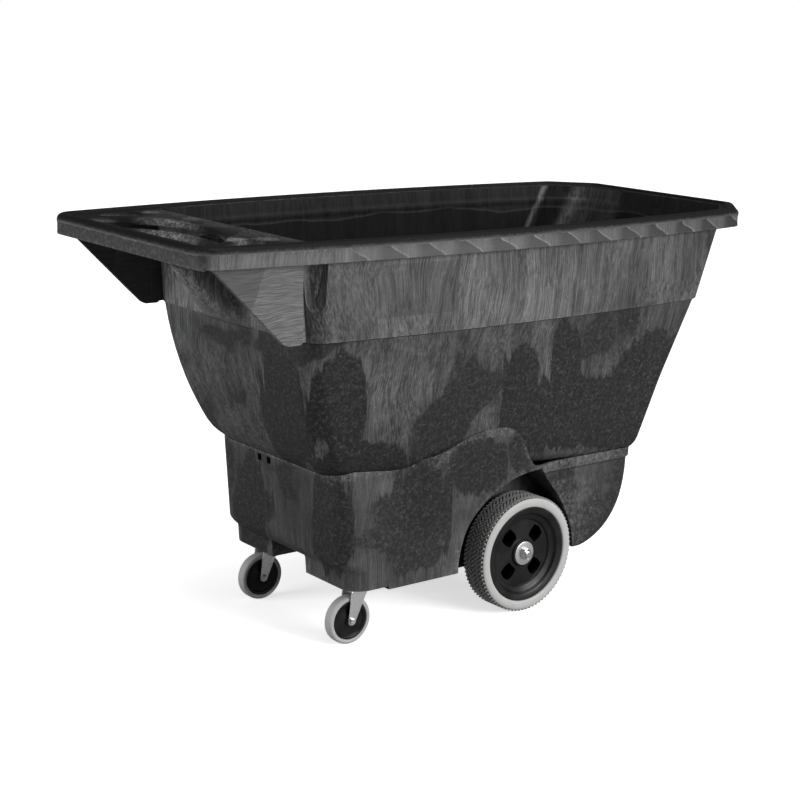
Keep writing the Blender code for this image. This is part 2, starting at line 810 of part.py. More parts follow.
def fork_mesh():
    """The fork's top plate, lying about the swivel axis."""
    shape = bmesh.new()
    outline = arc((0, 0), 0.0215, -70, 70, 7)
    outline += [(-0.018, FORK_INNER + FORK_GAUGE), (-0.018, -FORK_INNER - FORK_GAUGE)]
    prism_z(shape, outline, FORK_TOP - FORK_GAUGE, FORK_TOP)
    return finished_mesh("caster_fork", shape)


def fork_legs(name):
    shape = bmesh.new()
    top = FORK_TOP - 0.0004
    foot = arc((-CASTER_TRAIL, CASTER_RADIUS), 0.0105, 195, 345, 7)
    outline = [(-0.0295, top - 0.010)] + foot + [(0.0135, top - 0.012), (0.0140, top), (-0.0255, top)]
    for side in (-1, 1):
        low, high = sorted((side * FORK_INNER, side * (FORK_INNER + FORK_GAUGE)))
        prism_y(shape, outline, low, high)
    return helper_object(name, shape)


def make_caster(side_name, side, looks):
    swivel = (station(CASTER_PLACE), side * CASTER_OFFSET, 0)
    mount = add_empty("caster_mount_" + side_name, swivel)
    turn = add_empty("swivel_axis_" + side_name, (0, 0, 0), mount)
    spin = add_empty("caster_axis_" + side_name, (-CASTER_TRAIL, 0, CASTER_RADIUS), turn)

    plate_shape = bmesh.new()
    prism_z(plate_shape, round_outline(*CASTER_PLATE_HALF, 0.006), PLATE_BOTTOM, PLATE_TOP)
    plate_mesh = finished_mesh("caster_plate", plate_shape)
    plate = add_object("caster_plate_" + side_name, plate_mesh, looks["zinc"], parent=mount)
    holes = hole_cluster("cutter_plate_" + side_name, CASTER_BOLT_SPOTS + ((0, 0),), 0.0052, 0.12, 0.17)
    holes.parent = mount
    cut(plate, holes)

    race = [(0.0048, RACE_BOTTOM), (0.0180, RACE_BOTTOM), (0.0215, RACE_BOTTOM + 0.003)]
    race += [(0.0215, PLATE_BOTTOM - 0.002), (0.0195, PLATE_BOTTOM - GAP), (0.0048, PLATE_BOTTOM - GAP)]
    race_mesh = turned("swivel_race", race[::-1], 20, along_z)
    add_object("swivel_race_" + side_name, race_mesh, looks["zinc"], parent=mount)
    pin_shape = bmesh.new()
    head = FORK_TOP - FORK_GAUGE - GAP
    pin_rings = [(0.0060, head - 0.0045), (0.0085, head - 0.0030), (0.0085, head), (0.0045, head)]
    pin_rings.append((0.0045, PLATE_TOP - 0.0006))
    loft(pin_shape, [along_z(circle(radius, 12), z) for radius, z in pin_rings])
    add_object("kingpin_" + side_name, finished_mesh("kingpin", pin_shape), looks["steel"], parent=mount)
    bolt = bolt_mesh("caster_bolt", 0.010, 0.0042, 0.0040, 0.016, along_z)
    bolt.transform(Matrix.Rotation(math.pi, 4, "X"))
    for number, (x, y) in enumerate(CASTER_BOLT_SPOTS, 1):
        name = "caster_bolt_%s_%d" % (side_name, number)
        add_object(name, bolt, looks["zinc"], (x, y, PLATE_BOTTOM - GAP), mount)

    fork = add_object("caster_fork_" + side_name, fork_mesh(), looks["zinc"], parent=turn)
    legs = fork_legs("join_fork_legs_" + side_name)
    legs.parent = turn
    pin_hole = hole_cluster("cutter_pin_" + side_name, ((0, 0),), 0.0053, 0.11, 0.15)
    pin_hole.parent = turn
    axle_hole = bmesh.new()
    prism_y(axle_hole, circle(0.0043, 12), -0.04, 0.04)
    axle_hole = helper_object("cutter_caster_axle_" + side_name, axle_hole)
    axle_hole.parent = spin
    join(fork, legs)
    cut(fork, pin_hole, axle_hole)

    half = CASTER_WIDTH / 2
    core = [
        (0.0064, half + 0.0010), (0.0130, half + 0.0010), (0.0150, half - 0.0040),
        (0.0380, half - 0.0050), (0.0420, half - 0.0010), (0.0460, half - 0.0010),
    ]
    core += [(radius, -y) for radius, y in core[::-1]]
    core_mesh = turned("caster_core", core, CASTER_SEGMENTS)
    add_object("caster_core_" + side_name, core_mesh, looks["hub"], parent=spin)
    tyre = tyre_profile(CASTER_RADIUS, 0.0463, CASTER_WIDTH, 0.005)
    tyre_mesh = turned("caster_tyre", tyre, CASTER_SEGMENTS)
    add_object("caster_tyre_" + side_name, tyre_mesh, looks["tyre"], parent=spin)
    reach = FORK_INNER - GAP
    sleeve = [(0.0045, -reach), (0.0045, reach), (0.0061, reach), (0.0061, -reach)]
    sleeve_mesh = turned("caster_sleeve", sleeve, 12)
    add_object("caster_sleeve_" + side_name, sleeve_mesh, looks["steel"], parent=spin)
    outside = FORK_INNER + FORK_GAUGE + GAP
    axle_bolt = bolt_mesh("caster_axle_bolt", 0.0125, 0.0048, 0.0040, 2 * outside + 0.0080, along_y)
    bolt_mesh_here = mirrored_for(axle_bolt, side, "caster_axle_bolt_" + side_name)
    add_object("caster_axle_bolt_" + side_name, bolt_mesh_here, looks["zinc"], (0, side * outside, 0), spin)
    nut = nut_mesh("caster_axle_nut", 0.0125, 0.0043, 0.0060)
    nut = mirrored_for(nut, -side, "caster_axle_nut_" + side_name)
    add_object("caster_axle_nut_" + side_name, nut, looks["zinc"], (0, -side * outside, 0), spin)


def main():
    for thing in list(bpy.data.objects):
        bpy.data.objects.remove(thing)
    looks = {
        "hub": material("black_nylon", (0.012, 0.012, 0.013), 0.42),
        "tyre": material("grey_rubber", (0.42, 0.43, 0.43), 0.62),
        "zinc": material("zinc_plate", (0.62, 0.63, 0.64), 0.32, 1.0),
        "steel": material("bright_steel", (0.50, 0.50, 0.51), 0.30, 1.0),
        "bush": material("white_nylon", (0.70, 0.69, 0.66), 0.50),
    }
    hopper_look = material("hopper_foam_plastic", (0.060, 0.061, 0.063), 0.50)
    base_look = material("base_foam_plastic", (0.055, 0.056, 0.058), 0.52)

    spots = [(station(place), side * across) for place, across in BOLT_SPOTS for _, side in SIDES]
    hopper_holes = hole_cluster("cutter_hopper_bolts", spots, 0.0060, 0.31, 0.43)
    caster_spots = []
    for _, side in SIDES:
        for x, y in CASTER_BOLT_SPOTS + ((0, 0),):
            caster_spots.append((station(CASTER_PLACE) + x, side * CASTER_OFFSET + y))
    caster_holes = hole_cluster("cutter_caster_holes", caster_spots, 0.0048, 0.12, 0.18)

    make_hopper(hopper_look, hopper_holes)
    make_base(base_look, hopper_holes, caster_holes)
    bolt = bolt_mesh("hopper_bolt", 0.016, 0.0060, 0.0052, 0.046, along_z)
    for number, (x, y) in enumerate(spots, 1):
        seat = FLOOR_UNDERSIDE - FLOOR_TILT * x + WALL + 0.0010
        add_object("hopper_bolt_%d" % number, bolt, looks["zinc"], (x, y, seat))
    make_axle(looks)
    for side_name, side in SIDES:
        make_wheel(side_name, side, looks)
        make_caster(side_name, side, looks)


main()
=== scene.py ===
"""The looks of a half-cubic-yard tilt truck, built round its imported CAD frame.

Metres, +Z up, in the CAD part's own frame. As in the CAD source, lengths along the truck are given as
distances from the handle bar's outer edge. The moulded hopper and base, the wheels and the casters get
finer meshes here, and the small hidden hardware keeps its CAD mesh with a better material.
"""

import math

import bmesh
import bpy
from mathutils import Matrix, Vector


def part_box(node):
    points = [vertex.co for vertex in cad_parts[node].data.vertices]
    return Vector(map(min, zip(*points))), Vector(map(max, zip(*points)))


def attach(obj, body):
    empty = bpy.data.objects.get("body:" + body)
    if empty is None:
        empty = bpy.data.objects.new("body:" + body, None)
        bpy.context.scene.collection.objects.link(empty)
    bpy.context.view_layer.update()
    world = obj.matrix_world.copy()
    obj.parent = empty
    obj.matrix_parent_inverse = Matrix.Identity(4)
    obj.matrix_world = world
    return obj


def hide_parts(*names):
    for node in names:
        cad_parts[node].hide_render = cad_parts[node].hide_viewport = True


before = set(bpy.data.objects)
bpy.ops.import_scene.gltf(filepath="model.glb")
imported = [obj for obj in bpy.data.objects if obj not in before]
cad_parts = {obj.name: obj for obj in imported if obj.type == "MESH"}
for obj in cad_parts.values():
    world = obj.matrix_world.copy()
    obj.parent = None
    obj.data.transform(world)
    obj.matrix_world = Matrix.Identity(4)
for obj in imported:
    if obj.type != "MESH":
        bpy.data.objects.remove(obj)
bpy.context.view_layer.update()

# Driving dimensions, the same as the CAD source's.
LENGTH = 1.638
HEIGHT = 0.970
HALF_WIDTH = 0.3925
RIM_DEPTH = 0.046
SKIRT = 0.007
WALL = 0.008
BOW = 0.0591
BOW_CENTRE = 0.8736
WALL_INSET = 0.030
DECK_END = 0.255
DECK_TOP = HEIGHT - 0.006
DECK_UNDERSIDE = HEIGHT - 0.022
DECK_HOLE_EDGE = 0.0078
CREASE_HEIGHT = 0.748
CREASE_STEP = 0.008
FLOOR_UNDERSIDE = 0.378
FLOOR_TILT = 0.055
POUR_SLOPE = 0.423
POUR_LEDGE = 0.029
HANDLE_FLOOR_RADIUS = 0.062
POUR_FLOOR_RADIUS = 0.035
BOLT_SPOTS = ((0.590, 0.085), (1.160, 0.085))

BASE_WALL = 0.006
BASE_HALF_WIDTH = 0.255
BASE_BOTTOM = 0.137
KEEL_BOTTOM = 0.108
KEEL_HALF_WIDTH = 0.164
RECESS_INNER = 0.165
NOSE_LIP = 0.004
ARCH_RADIUS = 0.218
POD_BOTTOM = 0.145
AXLE_HOLE_RADIUS = 0.0143
WHEEL_PLACE = 0.969
WHEEL_RADIUS = 0.1445
CASTER_PLACE = 0.507
CASTER_OFFSET = 0.184
CASTER_TRAIL = 0.027
CASTER_HOLES = ((-0.0285, -0.0215), (-0.0285, 0.0215), (0.0285, -0.0215), (0.0285, 0.0215), (0, 0))

SIDES = (("near", -1), ("far", 1))
CORNER_STEPS = 12
SIDE_STATIONS = 22


def station(distance):
    """The x of a point this far from the handle bar's outer edge."""
    return distance - LENGTH / 2


def clamped(share):
    """The share, kept between 0 and 1."""
    return min(1.0, max(0.0, share))


def eased(share):
    """The share, from 0 to 1, with a smooth start and end."""
    return share * share * (3 - 2 * share)


def bow(distance):
    """How far the bowed sides have come in at this distance from the handle end."""
    return BOW * ((distance - BOW_CENTRE) / (LENGTH / 2)) ** 2


# Shape makers


def add_ring(shape, points):
    return [shape.verts.new(point) for point in points]


def bridge(shape, first, second):
    pairs = zip(first, first[1:] + first[:1], second[1:] + second[:1], second)
    return [shape.faces.new(corners) for corners in pairs]


def volume_inside(faces):
    """The signed volume that a closed set of faces holds: negative where they point inwards."""
    total = 0.0
    for face in faces:
        spots = [vert.co for vert in face.verts]
        for second, third in zip(spots[1:], spots[2:]):
            total += spots[0].dot(second.cross(third)) / 6
    return total


def loft(shape, rings, closed_loop=False):
    """A solid skin over rings of equal counts, with flat ends unless the last ring joins the first."""
    made = [add_ring(shape, ring) for ring in rings]
    faces = []
    for first, second in zip(made, made[1:]):
        faces += bridge(shape, first, second)
    if closed_loop:
        faces += bridge(shape, made[-1], made[0])
    else:
        faces += [shape.faces.new(made[0][::-1]), shape.faces.new(made[-1])]
    if volume_inside(faces) < 0:
        bmesh.ops.reverse_faces(shape, faces=faces)


def circle(radius, count):
    angles = [2 * math.pi * i / count for i in range(count)]
    return [(radius * math.cos(angle), radius * math.sin(angle)) for angle in angles]


def arc(centre, radius, start, end, count):
    """Points on an arc from one angle to another, in degrees."""
    angles = [math.radians(start + (end - start) * i / (count - 1)) for i in range(count)]
    return [(centre[0] + radius * math.cos(a), centre[1] + radius * math.sin(a)) for a in angles]


def curve_between(first, control, last, steps):
    """Points on a quadratic curve, ends included."""
    line = []
    for t in (i / steps for i in range(steps + 1)):
        shares = ((1 - t) ** 2, 2 * t * (1 - t), t * t)
        line.append(tuple(
            shares[0] * a + shares[1] * b + shares[2] * c for a, b, c in zip(first, control, last)
        ))
    return line


def smooth_rows(rows, steps):
    """Rows of numbers refined by a smooth curve through each of them."""
    refined = []
    for i in range(len(rows) - 1):
        before = rows[max(0, i - 1)]
        after = rows[min(len(rows) - 1, i + 2)]
        for step in range(steps):
            t = step / steps
            row = []
            for p, a, b, q in zip(before, rows[i], rows[i + 1], after):
                bend = (2 * p - 5 * a + 4 * b - q) * t * t + (3 * a - p - 3 * b + q) * t ** 3
                row.append(a + 0.5 * ((b - p) * t + bend))
            refined.append(tuple(row))
    return refined + [tuple(rows[-1])]


def rounded(outline, radius, steps=5, least_turn=20):
    """The closed outline with its sharp corners rounded."""
    made = []
    count = len(outline)
    for i, spot in enumerate(outline):
        point = Vector(spot)
        back = Vector(outline[i - 1]) - point
        ahead = Vector(outline[(i + 1) % count]) - point
        turn = math.pi - back.angle(ahead)
        if turn < math.radians(least_turn):
            made.append(spot)
            continue
        reach = min(radius * math.tan(turn / 2), 0.45 * back.length, 0.45 * ahead.length)
        start = point + back.normalized() * reach
        end = point + ahead.normalized() * reach
        made += curve_between(start, point, end, steps)
    return made


def signed_area(outline):
    pairs = zip(outline, outline[1:] + outline[:1])
    return sum(x * v - u * y for (x, y), (u, v) in pairs) / 2


def grown(outline, amount):
    """The closed outline moved outwards by this much."""
    sense = 1 if signed_area(outline) > 0 else -1
    made = []
    count = len(outline)
    for i, (x, y) in enumerate(outline):
        along = Vector(outline[(i + 1) % count]) - Vector(outline[i - 1])
        along.normalize()
        made.append((x + sense * amount * along.y, y - sense * amount * along.x))
    return made


def along_y(outline, y):
    return [(x, y, z) for x, z in outline]


def along_z(outline, z):
    return [(x, y, z) for x, y in outline]


def prism(shape, outline, low, high, layer=along_z):
    loft(shape, [layer(outline, low), layer(outline, high)])


def box(shape, low, high):
    outline = [(low[0], low[1]), (high[0], low[1]), (high[0], high[1]), (low[0], high[1])]
    prism(shape, outline, low[2], high[2])


def slab(shape, outline, low, high, edge, layer=along_y):
    """A plate with softened edges."""
    steps = ((1.0, 0.0), (0.3, 0.3), (0.0, 1.0))
    rings = [layer(grown(outline, -share * edge), low + depth * edge) for share, depth in steps]
    rings += [layer(grown(outline, -share * edge), high - depth * edge) for share, depth in steps[::-1]]
    loft(shape, rings)


def flared_prism(shape, outline, low, high, edge):
    """A cutter that opens out towards both ends, so that the hole it leaves has rounded edges."""
    turns = [math.radians(degrees) for degrees in range(0, 91, 15)]
    steps = [(edge * (1 - math.sin(turn)), edge * (1 - math.cos(turn))) for turn in turns]
    rings = [along_z(grown(outline, 1.6 * edge), low - edge)]
    rings += [along_z(grown(outline, widening), low + depth) for widening, depth in steps]
    rings += [along_z(grown(outline, widening), high - depth) for widening, depth in steps[::-1]]
    rings.append(along_z(grown(outline, 1.6 * edge), high + edge))
    loft(shape, rings)


def turned(shape, profile, segments):
    """A ring turned about Y, from a closed profile of (radius, place) points."""
    loft(shape, [along_y(circle(radius, segments), place) for radius, place in profile], True)


# Objects


def add_to_scene(name, data):
    thing = bpy.data.objects.new(name, data)
    bpy.context.scene.collection.objects.link(thing)
    return thing


def add_object(name, shape):
    mesh = bpy.data.meshes.new(name)
    shape.to_mesh(mesh)
    shape.free()
    return add_to_scene(name, mesh)


def lofted(name, rings):
    """An object with one solid skin over these rings."""
    shape = bmesh.new()
    loft(shape, rings)
    return add_object(name, shape)


def applied(thing):
    """Gives the object the mesh that its modifiers make, and drops them."""
    graph = bpy.context.evaluated_depsgraph_get()
    mesh = bpy.data.meshes.new_from_object(thing.evaluated_get(graph))
    thing.modifiers.clear()
    thing.data = mesh


def combine(target, operation, *others, solver="MANIFOLD"):
    """Joins, cuts or intersects target with helper objects, which go."""
    for other in others:
        modifier = target.modifiers.new(other.name, "BOOLEAN")
        modifier.operation = operation
        modifier.object = other
        modifier.solver = solver
    applied(target)
    for other in others:
        bpy.data.objects.remove(other)
    return target


def tidy_mesh(thing):
    """Welds the points and drops the slivers that Booleans leave."""
    shape = bmesh.new()
    shape.from_mesh(thing.data)
    bmesh.ops.remove_doubles(shape, verts=shape.verts, dist=1e-5)
    bmesh.ops.dissolve_degenerate(shape, edges=shape.edges, dist=2e-5)
    shape.to_mesh(thing.data)
    shape.free()


def soften(thing, width):
    """Bevels the sharp edges by this much."""
    modifier = thing.modifiers.new("soft_edges", "BEVEL")
    modifier.width = width
    modifier.segments = 2
    modifier.limit_method = "ANGLE"
    modifier.angle_limit = math.radians(30)
    modifier.harden_normals = False
    modifier.miter_outer = "MITER_ARC"


def finish_piece(thing, look, body, replaced=(), sharp=32):
    """Shades the piece and sets its material, the body it rides on and the CAD nodes it stands for."""
    mesh = thing.data
    mesh.shade_smooth()
    mesh.set_sharp_from_angle(angle=math.radians(sharp))
    mesh.materials.clear()
    mesh.materials.append(look)
    modifier = thing.modifiers.new("weighted_normals", "WEIGHTED_NORMAL")
    modifier.keep_sharp = True
    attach(thing, body)
    if replaced:
        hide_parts(*replaced)


# Hopper


def with_far_half(half):
    """A closed plan from the half that starts and ends on the middle line."""
    return half + [(x, -y) for x, y in half[-2:0:-1]]


def plan_outline(start, end, side, corner, chamfer, end_half):
    """A plan outline, square at the handle end with round corners and chamfered at the pour end.

    side gives the half width at a distance from the handle end, chamfer is how far each pour corner is cut
    along X, and end_half is half the width left at the pour end. It is a closed list of (x, y) points.
    """
    corner_width = side(start + corner)
    half = [(start, 0.0), (start, 0.25 * corner_width), (start, 0.55 * corner_width)]
    half += arc((start + corner, corner_width - corner), corner, 180, 90, CORNER_STEPS)
    side_end = end - chamfer
    for i in range(1, SIDE_STATIONS):
        distance = start + corner + (side_end - start - corner) * i / SIDE_STATIONS
        half.append((distance, side(distance)))
    wide = side(side_end)
    cut_width = wide - end_half

    def spot(along, across):
        return (side_end + along * chamfer, wide - across * cut_width)

    half += curve_between(spot(-0.16, 0.0), spot(0.011, 0.0), spot(0.10, 0.09), 6)
    half += curve_between(spot(0.90, 0.90), spot(1.0, 1.001), spot(1.0, 1.10), 6)
    half += [(end, 0.5 * end_half), (end, 0.0)]
    outline = [(station(x), y) for x, y in half]
    return with_far_half(outline)


def handle_wall(height):
    """How far from the handle end the hopper's handle-end wall stands at this height."""
    below = max(0.0, 0.75 - height)
    return DECK_END + 0.075 * min(0.22, HEIGHT - height) + 0.055 * below + 0.83 * below ** 2


def side_wall(height):
    """The hopper's half width amidships at this height, above the rounded belly."""
    top = HALF_WIDTH - WALL_INSET
    above = top - 0.04 * (HEIGHT - height)
    below = top - 0.04 * (HEIGHT - CREASE_HEIGHT) - CREASE_STEP - 0.185 * (CREASE_HEIGHT - height)
    share = clamped((height - CREASE_HEIGHT + 0.003) / 0.004)
    return below + eased(share) * (above - below)


def tuck(height, radius):
    """How far a wall has come in where it rounds into the floor."""
    short = radius - max(0.0, height - FLOOR_UNDERSIDE)
    if short <= 0:
        return 0.0
    return radius - math.sqrt(radius ** 2 - min(short, 0.998 * radius) ** 2)


def hopper_ring(height, inset=0.0, at=None):
    """The hopper's plan outline at this height, this far inside its outer face.

    With at, the outline is the one of that height, moved to this one.
    """
    level = height if at is None else at
    belly_depth = level - FLOOR_UNDERSIDE
    fade = clamped(1 - belly_depth / 0.17)
    pour_tuck = tuck(level, POUR_FLOOR_RADIUS)
    start = handle_wall(level + 0.42 * FLOOR_TILT * fade) + tuck(level, HANDLE_FLOOR_RADIUS) + inset
    end = LENGTH - POUR_LEDGE - POUR_SLOPE * (DECK_UNDERSIDE - level) - pour_tuck - 1.1 * inset

    def side(distance):
        radius = 0.085 - 0.045 * clamped((distance - 0.50) / 0.80)
        return side_wall(level) - bow(distance) - tuck(level, radius) - inset

    chamfer = 0.066 + 0.042 * belly_depth / (HEIGHT - FLOOR_UNDERSIDE)
    end_half = 0.2376 - 0.0646 * (DECK_UNDERSIDE - level) - 0.6 * pour_tuck - 0.5 * inset
    outline = plan_outline(start, end, side, 0.052 - 0.3 * inset, chamfer, end_half)
    return [(x, y, height - FLOOR_TILT * fade * x) for x, y in outline]


def rim_ring(height, inset, opening=False):
    """The rim's plan outline, or with opening=True the edge of the hopper's mouth inside the deck."""
    start = DECK_END + 0.014 if opening else inset
    corner = 0.045 if opening else max(0.02, 0.058 - inset)

    def side(distance):
        return HALF_WIDTH - bow(distance) - inset

    outline = plan_outline(start, LENGTH - inset, side, corner, 0.097, 0.250 - 0.41 * inset)
    return along_z(outline, height)


WALL_LIFTS = (
    0.0, 0.0015, 0.004, 0.008, 0.013, 0.020, 0.028, 0.038, 0.050, 0.068, 0.090, 0.120, 0.155, 0.190, 0.225,
    0.260, 0.295, 0.330, 0.352,
)
WALL_HEIGHTS = [FLOOR_UNDERSIDE + lift for lift in WALL_LIFTS]
WALL_HEIGHTS += [CREASE_HEIGHT - 0.009, CREASE_HEIGHT - 0.004]
LOW_LIFT = FLOOR_UNDERSIDE + 0.040


def outer_hopper_rings(grow=0.0):
    """The hopper's outer wall from its floor up, grown outwards by a clearance."""
    rings = []
    for height in WALL_HEIGHTS:
        lowered = height - grow if height < LOW_LIFT else height
        rings.append(hopper_ring(lowered, -grow, at=height))
    for lift in (-0.003, -0.002, -0.001, 0.0, 0.001, 0.004, 0.010):
        rings.append(hopper_ring(CREASE_HEIGHT + lift, -grow))
    for share in (0.25, 0.5, 0.75, 0.93):
        rings.append(hopper_ring(CREASE_HEIGHT + share * (DECK_UNDERSIDE - CREASE_HEIGHT), -grow))
    rings.append(hopper_ring(DECK_UNDERSIDE - 0.002, -grow - 0.0006))
    rings.append(hopper_ring(DECK_UNDERSIDE, -grow - 0.003))
    return rings


def inner_wall_rings():
    """The hopper's inner face from its floor up to the crease."""
    rings = []
    for height in WALL_HEIGHTS:
        rings.append(hopper_ring(height + WALL if height < LOW_LIFT else height, WALL, at=height))
    return rings


def rim_rings():
    """Over the rim, from under the deck round the skirt and the rounded top to the inside of the mouth."""
    rim_bottom = HEIGHT - RIM_DEPTH
    outer_edge = (
        (DECK_UNDERSIDE, SKIRT + 0.004), (DECK_UNDERSIDE - 0.003, SKIRT), (rim_bottom + 0.002, SKIRT - 0.001),
        (rim_bottom, SKIRT - 0.003), (rim_bottom, 0.0030), (rim_bottom + 0.0006, 0.0014),
        (rim_bottom + 0.0030, 0.0003), (rim_bottom + 0.010, 0.0010), (HEIGHT - 0.022, 0.0012),
        (HEIGHT - 0.018, 0.0002),
    )
    rings = [rim_ring(height, inset) for height, inset in outer_edge]
    for inset, height in arc((0.0135, HEIGHT - 0.0135), 0.0135, 180, 90, 8):
        rings.append(rim_ring(height, inset))
    for inset, height in curve_between((0.018, HEIGHT), (0.024, HEIGHT), (0.026, HEIGHT - 0.003), 4):
        rings.append(rim_ring(height, inset))
    for inset, height in curve_between((0.0265, HEIGHT - 0.0038), (0.028, DECK_TOP), (0.033, DECK_TOP), 4):
        rings.append(rim_ring(height, inset))
    mouth = ((DECK_TOP, 0.036), (DECK_TOP - 0.0006, 0.0378), (DECK_TOP - 0.003, 0.0392))
    for height, inset in mouth:
        rings.append(rim_ring(height, inset, opening=True))
    lip = ((0.036, -0.001), (0.040, 0.0005), (0.043, 0.0035), (0.047, 0.004), (0.055, 0.003))
    for drop, inset in lip:
        rings.append(hopper_ring(HEIGHT - drop, WALL + inset))
    for share in (0.8, 0.55, 0.3, 0.1):
        rings.append(hopper_ring(CREASE_HEIGHT + share * (DECK_UNDERSIDE - CREASE_HEIGHT), WALL))
    return rings


# Where the hand well's lower edge runs on one side: a turn round the D opening in degrees, then x, y and z.
WELL_EDGE = (
    (0, 0.130, 0.000, 0.884), (14, 0.130, 0.040, 0.884), (30, 0.127, 0.082, 0.886),
    (45, 0.120, 0.120, 0.889), (60, 0.111, 0.155, 0.893), (72, 0.099, 0.182, 0.898),
    (82, 0.086, 0.200, 0.903),
)
# The snout under the hand well, upwards: its height, the x of its front and its half width.
SNOUT_SECTIONS = (
    (0.744, 0.268, 0.100), (0.752, 0.252, 0.098), (0.765, 0.230, 0.092), (0.785, 0.205, 0.080),
    (0.812, 0.182, 0.066), (0.845, 0.156, 0.050), (0.884, 0.126, 0.036), (0.912, 0.140, 0.030),
    (0.940, 0.180, 0.028),
)


def well_section(turn, x, y, z):
    """A section through the hand well's wall, from the D opening's edge down to its lower edge."""
    angle = math.radians(turn)
    top = Vector((0.050 + 0.156 * math.cos(angle), 0.254 * math.sin(angle), DECK_UNDERSIDE + 0.007))
    foot = Vector((x, y, z))
    middle = Vector((top.x + 0.22 * (x - top.x), top.y + 0.10 * (y - top.y), top.z + 0.58 * (z - top.z)))
    line = [Vector(spot) for spot in curve_between(top, middle, foot, 9)]
    inward = Vector((-math.cos(angle), -math.sin(angle), 0.55)).normalized() * 0.006
    section = line + [spot + inward for spot in line[::-1]]
    return [(station(spot.x), spot.y, min(spot.z, DECK_UNDERSIDE + 0.007)) for spot in section]


def hand_well():
    """The bowl-like wall that hangs from the D opening's curved edge, back to the handle-end wall."""
    mirrored = [(-turn, x, -y, z) for turn, x, y, z in WELL_EDGE[:0:-1]]
    return lofted("hand_well", [well_section(*row) for row in smooth_rows(mirrored + list(WELL_EDGE), 4)])


def snout_curve(steps):
    """The snout's plan from side to side, with a hollow foot: (place across, share of its depth)."""
    crown = []
    for i in range(-steps, steps + 1):
        angle = math.radians(68 * i / steps)
        crown.append((math.sin(angle), math.cos(angle) ** 0.8))
    foot = [(0.965, 0.34), (1.03, 0.22), (1.09, 0.13), (1.18, 0.06), (1.28, 0.02), (1.40, 0.0)]
    return [(-across, swell) for across, swell in foot[::-1]] + crown + foot


def snout(inset, back):
    """The blunt nose that carries the hand well: it grows out of the end wall and narrows upwards."""
    rings = []
    for height, front, half in smooth_rows(SNOUT_SECTIONS, 3):
        depth = back - front - inset
        ring = []
        for across, swell in snout_curve(8):
            ring.append((station(back - max(depth, 0.004) * swell), (half - inset) * across))
        rings.append(along_z(ring, height + inset * (1.0 if height < 0.85 else -0.6)))
    return lofted("snout", rings)


D_FLAT = 0.046
D_DEPTH = 0.154
D_HALF_WIDTH = 0.246


def deck_cutters():
    """The openings in the deck: a D, and on each side a smaller one and two lid-hinge holes."""
    low = DECK_UNDERSIDE
    outline = [(D_FLAT, D_HALF_WIDTH - 0.006), (D_FLAT, 0.006 - D_HALF_WIDTH)]
    for i in range(-14, 15):
        turn = math.radians(5.6 * i)
        outline.append((D_FLAT + D_DEPTH * math.cos(turn), D_HALF_WIDTH * math.sin(turn)))
    shape = bmesh.new()
    d_opening = rounded([(station(x), y) for x, y in outline], 0.018)
    flared_prism(shape, d_opening, low, DECK_TOP, DECK_HOLE_EDGE)
    for _, side in SIDES:
        ring = arc((0.122, 0.004), 0.026, 90, 270, 13) + arc((0.165, -0.010), 0.030, 270, 450, 13)
        hole = [(station(x), side * (0.268 + y)) for x, y in ring]
        flared_prism(shape, rounded(hole, 0.02), low, DECK_TOP, DECK_HOLE_EDGE)
        for place, across in ((0.222, 0.262), (0.228, 0.288)):
            dots = [(station(place) + x, side * across + y) for x, y in circle(0.0032, 16)]
            prism(shape, dots, low - 0.01, HEIGHT + 0.02)
    return add_object("deck_cutters", shape)


def scoop(grow):
    """The pocket in each handle-end corner under the deck: a capsule standing on its round end."""
    shape = bmesh.new()
    radius = 0.050 + grow
    centre_height = 0.840
    for _, side in SIDES:
        rings = []
        for angle in range(-84, 1, 12):
            level = math.radians(angle)
            ring = circle(radius * math.cos(level), 40)
            spots = [(station(0.258) + x, side * min(0.349 + y, 0.3395)) for x, y in ring]
            rings.append(along_z(spots, centre_height + radius * math.sin(level)))
        rings.append(along_z(spots, 0.926 + grow))
        loft(shape, rings)
    return add_object("scoop", shape)


def hole_cluster(spots, radius, low, high):
    shape = bmesh.new()
    for x, y in spots:
        prism(shape, [(x + dx, y + dy) for dx, dy in circle(radius, 16)], low, high)
    return add_object("holes", shape)


def bolt_spots():
    return [(station(place), side * across) for place, across in BOLT_SPOTS for _, side in SIDES]


def bolt_holes():
    """The holes that the four bolts between hopper and base pass through."""
    return hole_cluster(bolt_spots(), 0.0060, 0.31, 0.43)


# A point well inside the hopper.
HOPPER_MIDDLE = Vector((0.05, 0.0, 0.70))


def line_inside(hopper, shaded_inner_look):
    """Gives the faces inside the hopper, ahead of the deck, their own material: the darker copy that paints
    in their shade.
    """
    hopper.data.materials.append(shaded_inner_look)
    for face in hopper.data.polygons:
        spot = face.center
        inward = (HOPPER_MIDDLE - spot).dot(face.normal) > 0
        if inward and spot.z < HEIGHT - 0.012 and spot.x > station(DECK_END + 0.006):
            face.material_index = 1


def make_hopper(look, shaded_inner_look):
    hopper = lofted("hopper_skin", outer_hopper_rings() + rim_rings() + inner_wall_rings()[::-1])
    inside = lofted("inside", inner_wall_rings() + [hopper_ring(DECK_UNDERSIDE - 0.010, WALL)])
    combine(hopper, "UNION", combine(scoop(WALL), "INTERSECT", inside))
    combine(hopper, "DIFFERENCE", scoop(0.0))
    combine(hopper, "UNION", snout(0.0, DECK_END + 0.019), hand_well())
    combine(hopper, "DIFFERENCE", snout(0.006, DECK_END + 0.040), deck_cutters())
    combine(hopper, "DIFFERENCE", bolt_holes())
    tidy_mesh(hopper)
    finish_piece(hopper, look, "truck", ("hopper",))
    line_inside(hopper, shaded_inner_look)


